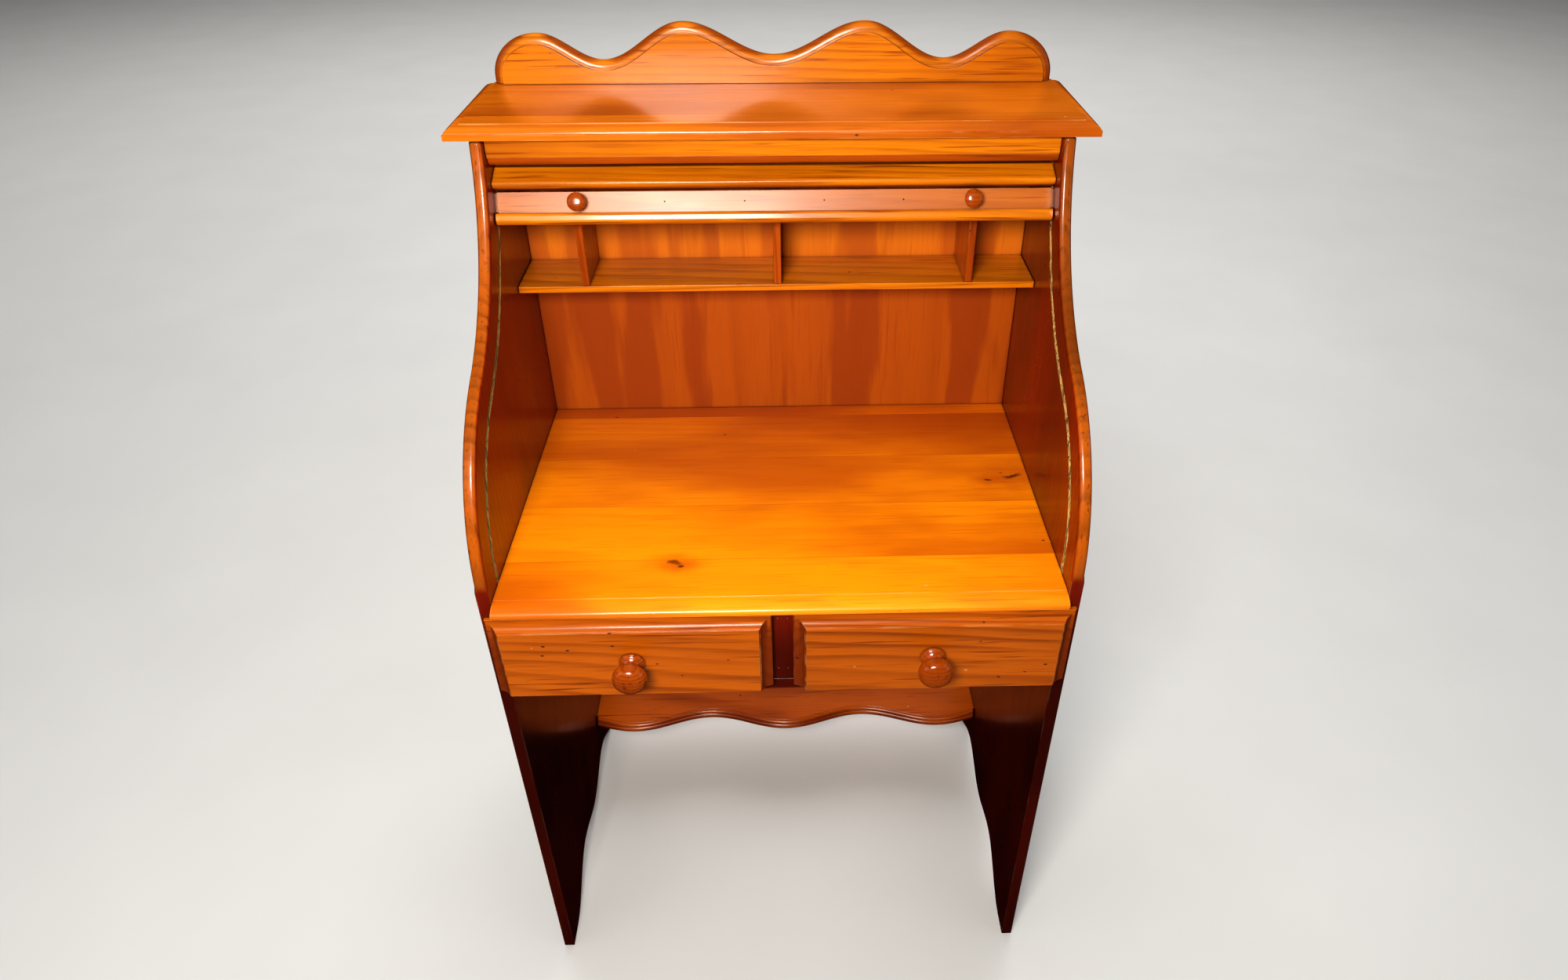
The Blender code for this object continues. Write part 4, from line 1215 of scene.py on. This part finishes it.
@dataclass
class Top:
    """Top board, gallery, frieze and bead."""

    bench: Bench
    square_edge: float = 0.0072
    mould: float = 0.018
    rim: float = 0.0122

    def board(self) -> None:
        """The top board, moulded on its front and ends."""
        low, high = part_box("top_board")
        thick = high[2] - low[2]
        quirk = 0.0013
        steps = [(0.0, 0.0), (0.0, self.square_edge), (0.0016, self.square_edge + 0.0004)]
        steps += arc(steps[-1], (self.mould - 0.0012, thick - quirk), True, 10)
        steps += [(self.mould - 0.0006, thick - quirk), (self.mould, thick)]
        rings = []
        for inset, height in steps:
            a, b, y, z = low[0] + inset, high[0] - inset, low[1] + inset, low[2] + height
            rings.append([(a, y, z), (b, y, z), (b, high[1], z), (a, high[1], z)])
        self.bench.piece("top_board_moulded", loft(rings), "top_board", TOP_BOARDS, Lay.FLAT, 0.0004)

    def gallery_curve(self) -> list[Point2]:
        """Draw the gallery's scrolls from the middle to the end.

        Returns:
            The points as (x, height over its foot).
        """
        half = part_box("gallery_board")[1][0]
        marks = [(0.0, 0.0350), (0.322 * half, 0.0780), (0.608 * half, 0.0292), (0.835 * half, 0.0640)]
        curve = []
        for (x0, h0), (x1, h1) in zip(marks, marks[1:]):
            curve += [(lerp(x0, x1, i / 24), swing(h0, h1, i / 24)) for i in range(24)]
        ear = marks[-1]
        spring = 0.008
        for i in range(19):
            turn = math.pi / 2 * i / 18
            curve.append((lerp(ear[0], half, math.sin(turn)), spring + (ear[1] - spring) * math.cos(turn)))
        return curve

    def gallery(self) -> None:
        """The gallery board: a flat field behind a quirk, with a rounded rim along its scrolls."""
        low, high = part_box("gallery_board")
        right = self.gallery_curve()
        foot = right[-1][0]
        outline = [(-x, h) for x, h in right[:0:-1]] + right + [(foot, 0.0), (-foot, 0.0)]
        flat = [len(outline) - 2, len(outline) - 1]
        thick = high[1] - low[1]
        stations = [(0.0, self.rim), (0.0042, self.rim + 0.0003), (0.0046, self.rim - 0.0006)]
        stations += arc(stations[-1], (0.0132, 0.0), True, 10) + [(thick, 0.0)]
        rings = []
        for back, inset in stations:
            drawn = inset_outline(outline, [inset] * len(outline))
            for i in flat:
                drawn[i] = (math.copysign(foot - inset, outline[i][0]), 0.0)
            rings.append([(x, low[1] + back, low[2] + h) for x, h in drawn])
        self.bench.piece("gallery_scrolled", loft(rings), "gallery_board", VARNISHED, Lay.UPRIGHT, 0.0004,
                         limit=55)

    def build(self) -> None:
        """Make the top, the gallery and the frieze."""
        self.board()
        self.gallery()
        bench = self.bench
        bench.piece("frieze_planed", node_copy("frieze_rail"), "frieze_rail", VARNISHED, Lay.UPRIGHT, 0.0008)
        bench.piece("frieze_bead_planed", node_copy("frieze_bead"), "frieze_bead", SHADED, Lay.UPRIGHT,
                    0.0006)


@dataclass
class WritingCompartment:
    """Writing surface, backs, pigeonhole shelf and dividers."""

    bench: Bench
    nails: NailTree

    def surface(self) -> None:
        """The writing surface with its nosed front."""
        low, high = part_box("writing_surface")
        top, under, nose = high[2], low[2], low[1]
        quirk = (LINES.front + 0.0080, top - 0.0011)
        profile = [(high[1], under), (high[1], top), (quirk[0], top), quirk]
        profile += arc(quirk, (nose, top - 0.0098), False, 14)
        profile += [(nose, top - 0.0122), (nose + 0.0022, top - 0.0126), (nose + 0.0026, under)]
        rings = [[(x, y, z) for y, z in profile] for x in (low[0], high[0])]
        self.bench.piece("writing_surface_nosed", loft(rings), "writing_surface", WRITING_BOARDS, Lay.FLAT,
                         0.0004, limit=35)

    def nail_back(self) -> None:
        """Nail the outer back along its top and its sides."""
        low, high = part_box("outer_back")
        rows = ((9, (low[0] + 0.02, high[1], high[2] - 0.012), ((high[0] - low[0] - 0.04) / 8, 0, 0)),
                (7, (low[0] + 0.008, high[1], low[2] + 0.03), (0, 0, (high[2] - low[2] - 0.06) / 6)),
                (7, (high[0] - 0.008, high[1], low[2] + 0.03), (0, 0, (high[2] - low[2] - 0.06) / 6)))
        for number, (count, start, step) in enumerate(rows, 1):
            row = self.nails.bake(f"back_nails_{number}", {
                "Count": count, "Start": start, "Step": step, "Facing": (math.pi / 2, 0.0, 0.0),
                "Radius": 0.0026, "Proud": 0.0004, "Metal": NAIL.material()})
            self.bench.add(row, "carcass", "screw_steel")

    def build(self) -> None:
        """Make the compartment."""
        self.surface()
        bench = self.bench
        for node, finish in (("false_back", SHADED_PLYWOOD), ("outer_back", PLYWOOD)):
            bench.piece(f"{node}_sheet", node_copy(node), node, finish, Lay.STANDING_BACK, 0.0004)
        bench.piece("pigeonhole_shelf_planed", node_copy("pigeonhole_shelf"), "pigeonhole_shelf", VARNISHED,
                    Lay.FLAT, 0.0010)
        for word in ("left", "centre", "right"):
            node = f"divider_{word}"
            bench.piece(f"{node}_planed", node_copy(node), node, SHADED, Lay.STANDING_SIDE, 0.0012)
        self.nail_back()


@dataclass
class DrawerFrame:
    """Rails, muntin and runners that the drawers run between."""

    bench: Bench
    nails: NailTree

    def build(self) -> None:
        """Make the frame and nail the muntin."""
        bench = self.bench
        bench.piece("front_rail_planed", node_copy("front_rail"), "front_rail", RED_STAIN, Lay.FLAT, 0.0008)
        bench.piece("rear_rail_planed", node_copy("rear_rail"), "rear_rail", BARE, Lay.FLAT, 0.0008)
        bench.piece("centre_muntin_planed", node_copy("centre_muntin"), "centre_muntin", RED_STAIN,
                    Lay.STANDING_BACK, 0.0008)
        for word in ("left", "right", "centre"):
            node = f"runner_{word}"
            bench.piece(f"{node}_planed", node_copy(node), node, BARE, Lay.RUNNING_FLAT, 0.0008)
        low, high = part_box("centre_muntin")
        for word, height in (("upper", high[2] - 0.022), ("lower", low[2] + 0.020)):
            row = self.nails.bake(f"muntin_nails_{word}", {
                "Count": 2, "Start": (-0.0062, low[1], height), "Step": (0.0124, 0.0, 0.0),
                "Facing": (math.pi / 2, 0.0,
                           0.0), "Radius": 0.0011, "Proud": 0.0004, "Metal": NAIL.material()})
            bench.add(row, "carcass", "screw_steel")


@dataclass
class LowShelf:
    """Lower shelf with a waved, moulded front edge."""

    bench: Bench
    wave: float = 0.0155
    half_wave: float = 0.144
    columns: int = 220

    def build(self) -> None:
        """Make the shelf."""
        low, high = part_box("lower_shelf")
        thick = high[2] - low[2]
        mean = low[1] + self.wave
        xs = [lerp(low[0], high[0], i / self.columns) for i in range(self.columns + 1)]
        steps = [(0.0022, 0.0), (0.0006, 0.0010), (0.0, 0.0030), (0.0, 0.0070), (0.0005, 0.0080),
                 (0.0024, 0.0084)]
        steps += arc(steps[-1], (0.0090, thick - 0.0012), True, 7) + [(0.0096, thick - 0.0012),
                                                                      (0.0100, thick)]
        rings = []
        for inset, height in steps:
            z = low[2] + height
            front = [(x, mean - self.wave * math.cos(math.pi * x / self.half_wave) + inset, z) for x in xs]
            rings.append(front + [(high[0], high[1], z), (low[0], high[1], z)])
        self.bench.piece("lower_shelf_waved", loft(rings), "lower_shelf", SHADED, Lay.FLAT, 0.0)


# ---- turned work ---------------------------------------------------------------------------------
def rounded_profile(marks: Sequence[Point2], count: int = 5) -> list[Point2]:
    """A smooth run through marks, by Catmull and Rom's rule.

    Args:
        marks: Points that the run passes.
        count: Steps between two marks.

    Returns:
        The run's points.
    """
    points = []
    padded = [marks[0], *marks, marks[-1]]
    for p0, p1, p2, p3 in zip(padded, padded[1:], padded[2:], padded[3:]):
        for i in range(count):
            t = i / count
            points.append(tuple(0.5 * (2 * b + (c - a) * t + (2 * a - 5 * b + 4 * c - d) * t ** 2
                                       + (3 * b - a - 3 * c + d) * t ** 3)
                                for a, b, c, d in zip(p0, p1, p2, p3)))
    return points + [marks[-1]]


@dataclass(frozen=True)
class Knob:
    """A mushroom knob on a beaded foot, turned in one piece."""

    radius: float
    length: float

    def solid(self) -> bmesh.types.BMesh:
        """Turn the knob.

        Returns:
            The solid, standing on its foot along Z.
        """
        foot = [(0.700, 0.0), (0.742, 0.018), (0.752, 0.050), (0.735, 0.085), (0.700, 0.098)]
        neck = [(0.690, 0.104), (0.680, 0.130), (0.560, 0.185), (0.470, 0.250), (0.455, 0.310),
                (0.500, 0.375), (0.640, 0.430), (0.850, 0.490), (0.965, 0.570), (1.000, 0.660), (0.965,
                0.775), (0.850,
                                                                                                 0.880),
                (0.640, 0.955), (0.340, 0.992), (0.0, 1.0)]
        run = [(0.0, 0.0)] + rounded_profile(foot) + rounded_profile(neck)
        run = [(max(r, 0.0) * self.radius, h * self.length) for r, h in run]
        run[0], run[-1] = (0.0, 0.0), (0.0, self.length)
        return turned(run)


@dataclass(frozen=True)
class Screw:
    """Countersunk-looking wood screw with a slotted pan head."""

    head: float = 0.0040
    head_height: float = 0.0024
    shank: float = 0.0019
    length: float = 0.030

    def solid(self) -> bmesh.types.BMesh:
        """Return the screw with its head under Z = 0 and its shank up along Z."""
        dome = arc((0.0, -self.head_height), (self.head, -0.0004), False, 7)
        profile = [(0.0, -self.head_height)] + dome + [(self.head, 0.0), (self.shank, 0.0)]
        profile += [(self.shank, self.length - 0.004), (0.0, self.length)]
        return turned(profile, 32)

    def slot(self, bench: Bench, turn: float) -> bpy.types.Object:
        """Make the cutter of the head's slot.

        Args:
            bench: Bench that makes it an object.
            turn: Turn of the slot about the screw.

        Returns:
            The cutter.
        """
        bm = bmesh.new()
        bmesh.ops.create_cube(bm, size=1.0)
        place = Matrix.Translation((0, 0, -self.head_height)) @ Matrix.Rotation(turn, 4, "Z")
        bmesh.ops.transform(bm, verts=bm.verts, matrix=place @ Matrix.Diagonal((0.012, 0.0009, 0.0024, 1.0)))
        return bench.body("slot", bm, ZINC.material())


# ---- drawers -------------------------------------------------------------------------------------
@dataclass
class Drawer:
    """One drawer: moulded front, box, knob and screw."""

    bench: Bench
    word: str
    mould: float = 0.0162
    slot_turn: float = 0.4

    @property
    def side(self) -> int:
        """Return -1 for the left drawer and 1 for the right one."""
        return -1 if self.word == "left" else 1

    def front(self) -> None:
        """The front, moulded on its top and ends and square below."""
        node = f"drawer_{self.word}_front"
        low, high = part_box(node)
        thick = high[1] - low[1]
        slope = [(0.0, 0.0), (0.0, 0.0046), (0.0006, 0.0053), (0.0020, 0.0058), (0.0055, 0.0067),
                 (0.0085, 0.0079), (0.0112, 0.0096), (0.0130, 0.0117), (0.0141, 0.0138), (0.0146, 0.0150),
                 (0.0157, 0.0152), (0.0162, 0.0165)]
        steps = [(a * self.mould / slope[-1][0], b * thick / slope[-1][1]) for a, b in slope]
        rings = []
        for inset, forward in steps:
            a, b, y, top = low[0] + inset, high[0] - inset, high[1] - forward, high[2] - inset
            rings.append([(a, y, low[2]), (b, y, low[2]), (b, y, top), (a, y, top)])
        self.bench.piece(f"{node}_moulded", loft(rings), node, DRAWER_FACE, Lay.UPRIGHT, 0.0004, limit=35)

    def box(self) -> None:
        """The box: two sides, a back and a plywood bottom."""
        for place in ("inner", "outer"):
            node = f"drawer_{self.word}_side_{place}"
            self.bench.piece(f"{node}_planed", node_copy(node), node, BARE, Lay.RUNNING_SIDE, 0.0008)
        node = f"drawer_{self.word}_back"
        self.bench.piece(f"{node}_planed", node_copy(node), node, BARE, Lay.UPRIGHT, 0.0008)
        node = f"drawer_{self.word}_bottom"
        self.bench.piece(f"{node}_sheet", node_copy(node), node, PLYWOOD, Lay.FLAT, 0.0003)

    def pull(self) -> None:
        """The knob and the screw that holds it."""
        node = f"drawer_{self.word}_knob"
        low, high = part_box(node)
        middle = (Vector(low) + Vector(high)) / 2
        place = Matrix.Translation((middle.x, high[1], middle.z)) @ Matrix.Rotation(math.pi / 2, 4, "X")
        bm = Knob((high[0] - low[0]) / 2, high[1] - low[1]).solid()
        bmesh.ops.transform(bm, verts=bm.verts, matrix=place)
        self.bench.piece(f"{node}_turned", bm, node, TURNED, Lay.RUNNING_FLAT, 0.0)
        node = f"drawer_{self.word}_knob_screw"
        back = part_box(f"drawer_{self.word}_front")[1][1] + GAP
        mount_screw(self.bench, node, Matrix.Translation((middle.x, back, middle.z))
                    @ Matrix.Rotation(math.pi / 2, 4, "X"), Screw(), self.slot_turn * self.side)

    def build(self) -> None:
        """Make the drawer."""
        self.front()
        self.box()
        self.pull()


def mount_screw(bench: Bench, node: str, place: Matrix, screw: Screw, turn: float) -> None:
    """Make a slotted screw where its CAD node is.

    Args:
        bench: The bench.
        node: The CAD node.
        place: Where the screw's head seats and how it points.
        screw: The screw.
        turn: How far its slot is turned.
    """
    obj = bench.body(f"{node}_slotted", screw.solid(), ZINC.material())
    cutter = screw.slot(bench, turn)
    cut = obj.modifiers.new("slot", "BOOLEAN")
    cut.object = cutter
    obj.modifiers.new("shading", "WEIGHTED_NORMAL")
    plain_mesh(obj)
    bpy.data.objects.remove(cutter)
    obj.data.transform(place)
    bench.fix(obj, node, "screw_steel")


# ---- tambour -------------------------------------------------------------------------------------
@dataclass
class Tambour:
    """Lead rail, finger lip, knobs, hood moulding and slats."""

    bench: Bench
    slats: SlatTree
    nails: NailTree
    width: float = 0.0295
    back: float = 0.005
    face: float = 0.006
    rail_width: float = 0.026
    lip_width: float = 0.015
    lip_face: float = 0.0165
    hood_face: float = 0.0195
    end_gap: float = 0.0005

    def across(self, profile: Sequence[Point2], node: str, place: tuple[Vector, float]) -> bmesh.types.BMesh:
        """A moulding laid across the desk.

        Args:
            profile: (down the track, out to the room) points of its section.
            node: The CAD node whose length it has.
            place: Its place and slope on the track.

        Returns:
            The moulding's solid.
        """
        centre, slope = place
        down = Vector((-math.cos(slope), -math.sin(slope)))
        points = [centre + down * a + LINES.outward(slope) * b for a, b in profile]
        low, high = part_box(node)
        return loft([[(x, p.x, p.y) for p in points] for x in (low[0], high[0])])

    def hood(self) -> None:
        """The hood moulding: thin above, with a round nose over the lead rail."""
        half, top = self.width / 2, self.hood_face
        nose = (half, top - 0.0070)
        profile = [(-half + 0.0015, -self.back), (half - 0.0015, -self.back), (half, -self.back + 0.003),
                   nose]
        profile += arc(nose, (half - 0.0055, top), True, 8)
        profile += [(half - 0.0072, top - 0.0004), (half - 0.0076, top - 0.0016),
                    (half - 0.0090, top - 0.0024)]
        profile += [(-half + 0.0040, self.face - 0.0002)]
        profile += arc(profile[-1], (-half, self.face - 0.0040), False, 5) + [(-half, -self.back + 0.003)]
        place = LINES.track(-LINES.pitch / 2)
        bm = self.across(profile, "tambour_hood", place)
        self.bench.piece("tambour_hood_moulded", bm, "tambour_hood", VARNISHED, Lay.UPRIGHT, 0.0003)

    def rail(self) -> None:
        """The lead rail with its tongues, the lip, the knobs and their screws."""
        place = LINES.track(self.rail_width / 2 + 0.001)
        bench = self.bench
        bench.piece("tambour_lead_rail_planed", node_copy("tambour_lead_rail"), "tambour_lead_rail",
                    RAIL_FACE, Lay.UPRIGHT, 0.0007)
        a = self.rail_width / 2 + GAP
        b = a + self.lip_width
        profile = [(a, -self.back), (b - 0.002, -self.back), (b, -self.back + 0.003),
                   (b, self.lip_face - 0.0085)]
        profile += arc(profile[-1], (b - 0.0060, self.lip_face), True, 8)
        profile += [(a + 0.0040, self.lip_face)]
        profile += arc(profile[-1], (a, self.lip_face - 0.0045), False, 6)
        bench.piece("tambour_lip_moulded", self.across(profile, "tambour_lip", place), "tambour_lip",
                    VARNISHED, Lay.UPRIGHT, 0.0003)
        centre, slope = place
        out = LINES.outward(slope)
        tilt = Matrix.Rotation(slope, 4, "X")
        for word in ("left", "right"):
            node = f"tambour_knob_{word}"
            low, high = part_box(node)
            x = (low[0] + high[0]) / 2
            seat = centre + out * (self.face + GAP)
            bm = Knob((high[0] - low[0]) / 2, 0.0225).solid()
            bmesh.ops.transform(bm, verts=bm.verts, matrix=Matrix.Translation((x, seat.x, seat.y)) @ tilt)
            bench.piece(f"{node}_turned", bm, node, TURNED, Lay.RUNNING_FLAT, 0.0)
            seat = centre - out * (self.back + GAP)
            screw = Screw(length=self.back + self.face + 0.008)
            mount_screw(bench, f"tambour_knob_screw_{word}",
                        Matrix.Translation((x, seat.x, seat.y)) @ tilt, screw, 0.7)
        pin = centre + out * self.face
        row = self.nails.bake("lead_rail_pins", {
            "Count": 4, "Start": (-0.145, pin.x, pin.y), "Step": (0.104, 0.0, 0.0), "Facing": (slope, 0.0,
                                                                                               0.0),
            "Radius": 0.0011, "Proud": 0.0002, "Metal": PIN.material()})
        bench.add(row, BODY_OF["tambour_lead_rail"], "screw_steel")

    def build(self) -> None:
        """Make the tambour, one piece for each slat's body."""
        self.rail()
        self.hood()
        canvas = Canvas().material()
        nodes = sorted(name for name in frame["nodes"] if name.startswith("tambour_slat_"))
        for i, node in enumerate(nodes, 1):
            centre, slope = LINES.track(-LINES.pitch * (i + 0.5))
            place = Vector((0.0, centre.x, centre.y))
            wood = VARNISHED.board(node, Lay.UPRIGHT, place, 0.417 * i)
            slat = self.slats.bake(f"{node}_rounded", {
                "Half Length": LINES.inner - self.end_gap, "Width": self.width,
                "Thickness": self.back + self.face, "Front Round": 0.0042, "Back Round": 0.0012,
                "Middle": (self.face - self.back) / 2, "Place": place, "Slope": slope,
                "Wood": wood, "Canvas": canvas})
            self.bench.fix(slat, node, "varnished_pine")


# ---- studio --------------------------------------------------------------------------------------
@dataclass
class Studio:
    """Pale floor, soft lights and the camera."""

    camera_place: Vector = field(default_factory=lambda: Vector((0.0093, -1.17525, 1.6348)))
    camera_turn: tuple[float, float, float] = (54.7791, -0.0953, -1.6798)
    lens: float = 23.007
    shift: Point2 = (-0.0181, -0.0113)

    def floor(self) -> None:
        """A plain pale floor."""
        bm = bmesh.new()
        bmesh.ops.create_grid(bm, x_segments=1, y_segments=1, size=14.0)
        material = bpy.data.materials.new("studio_floor")
        material.use_nodes = True
        w = Wiring(material.node_tree)
        shader = material.node_tree.nodes["Principled BSDF"]
        place = w.add("ShaderNodeTexCoord").outputs["Object"]
        tone = w.noise(place, (3.0, 3.0, 3.0), 4.0)
        w.feed(shader.inputs["Base Color"], w.mix(tone, (0.62, 0.61, 0.59), (0.68, 0.67, 0.65)))
        shader.inputs["Roughness"].default_value = 0.75
        obj = Bench.body("studio_floor", bm, material)
        obj.location.z = -0.0005
        obj.visible_glossy = False

    @staticmethod
    def softbox(name: str, place: Vector, target: Vector, size: Point2, power: float, colour: Colour,
                mirrored: bool = True) -> None:
        """Hang an area light.

        Args:
            name: The light's name.
            place: Where it hangs.
            target: What it points at.
            size: Its width and height.
            power: Its power in watts.
            colour: Its colour.
            mirrored: Show in the varnish.
        """
        light = bpy.data.lights.new(name, "AREA")
        light.shape = "RECTANGLE"
        light.size, light.size_y = size
        light.energy = power
        light.color = colour
        obj = bpy.data.objects.new(name, light)
        obj.location = place
        obj.rotation_euler = (target - place).to_track_quat("-Z", "Y").to_euler()
        obj.visible_camera = False
        obj.visible_glossy = mirrored
        bpy.context.scene.collection.objects.link(obj)

    def build(self) -> None:
        """Set up the floor, lights, surroundings and camera."""
        self.floor()
        scene = bpy.context.scene
        middle = Vector((0.0, 0.0, 0.85))
        self.softbox("key", Vector((-0.26, -1.34, 1.80)), middle, (0.50, 0.36), 33.0, (1.0, 0.97, 0.92))
        self.softbox("left_fill", Vector((-2.6, -1.2, 1.9)), middle, (1.6, 1.6), 7.0, (1.0, 0.97, 0.93))
        self.softbox("right_fill", Vector((2.6, -0.6, 1.7)), middle, (1.6, 1.6), 5.0, (0.97, 0.98, 1.0))
        self.softbox("rear_fill", Vector((0.6, 2.8, 2.2)), middle, (2.0, 1.6), 12.0, (1.0, 0.98, 0.95), False)
        self.softbox("floor_wash", Vector((0.0, 0.4, 4.2)), Vector((0.0, 0.4, 0.0)), (3.5, 3.5), 50.0,
                     (1.0, 1.0, 1.0), False)
        self.softbox("far_wash", Vector((0.0, 5.0, 5.0)), Vector((0.0, 4.6, 0.0)), (9.0, 5.0), 330.0,
                     (1.0, 1.0, 1.0), False)
        world = bpy.data.worlds.new("studio")
        world.use_nodes = True
        background = world.node_tree.nodes["Background"]
        background.inputs["Color"].default_value = (0.80, 0.80, 0.80, 1.0)
        background.inputs["Strength"].default_value = 0.14
        scene.world = world
        world.cycles_visibility.glossy = False
        scene.view_settings.view_transform = "Standard"
        scene.view_settings.look = "Medium High Contrast"
        camera = bpy.data.cameras.new("camera")
        camera.sensor_width = 36.0
        camera.lens = self.lens
        camera.shift_x, camera.shift_y = self.shift
        camera.dof.use_dof = False
        obj = bpy.data.objects.new("camera", camera)
        obj.location = self.camera_place
        obj.rotation_euler = Euler([math.radians(angle) for angle in self.camera_turn])
        scene.collection.objects.link(obj)
        scene.camera = obj


def main() -> None:
    """Build the desk's sub-assemblies in order, then the studio."""
    logging.basicConfig(level=logging.INFO, format="%(name)s: %(message)s")
    bench = Bench()
    nails = NailTree()
    for side in (-1, 1):
        SidePanel(bench, side).build()
    Top(bench).build()
    WritingCompartment(bench, nails).build()
    DrawerFrame(bench, nails).build()
    LowShelf(bench).build()
    for word in ("left", "right"):
        Drawer(bench, word).build()
    Tambour(bench, SlatTree(), nails).build()
    Studio().build()


if __name__ == "__main__":
    main()
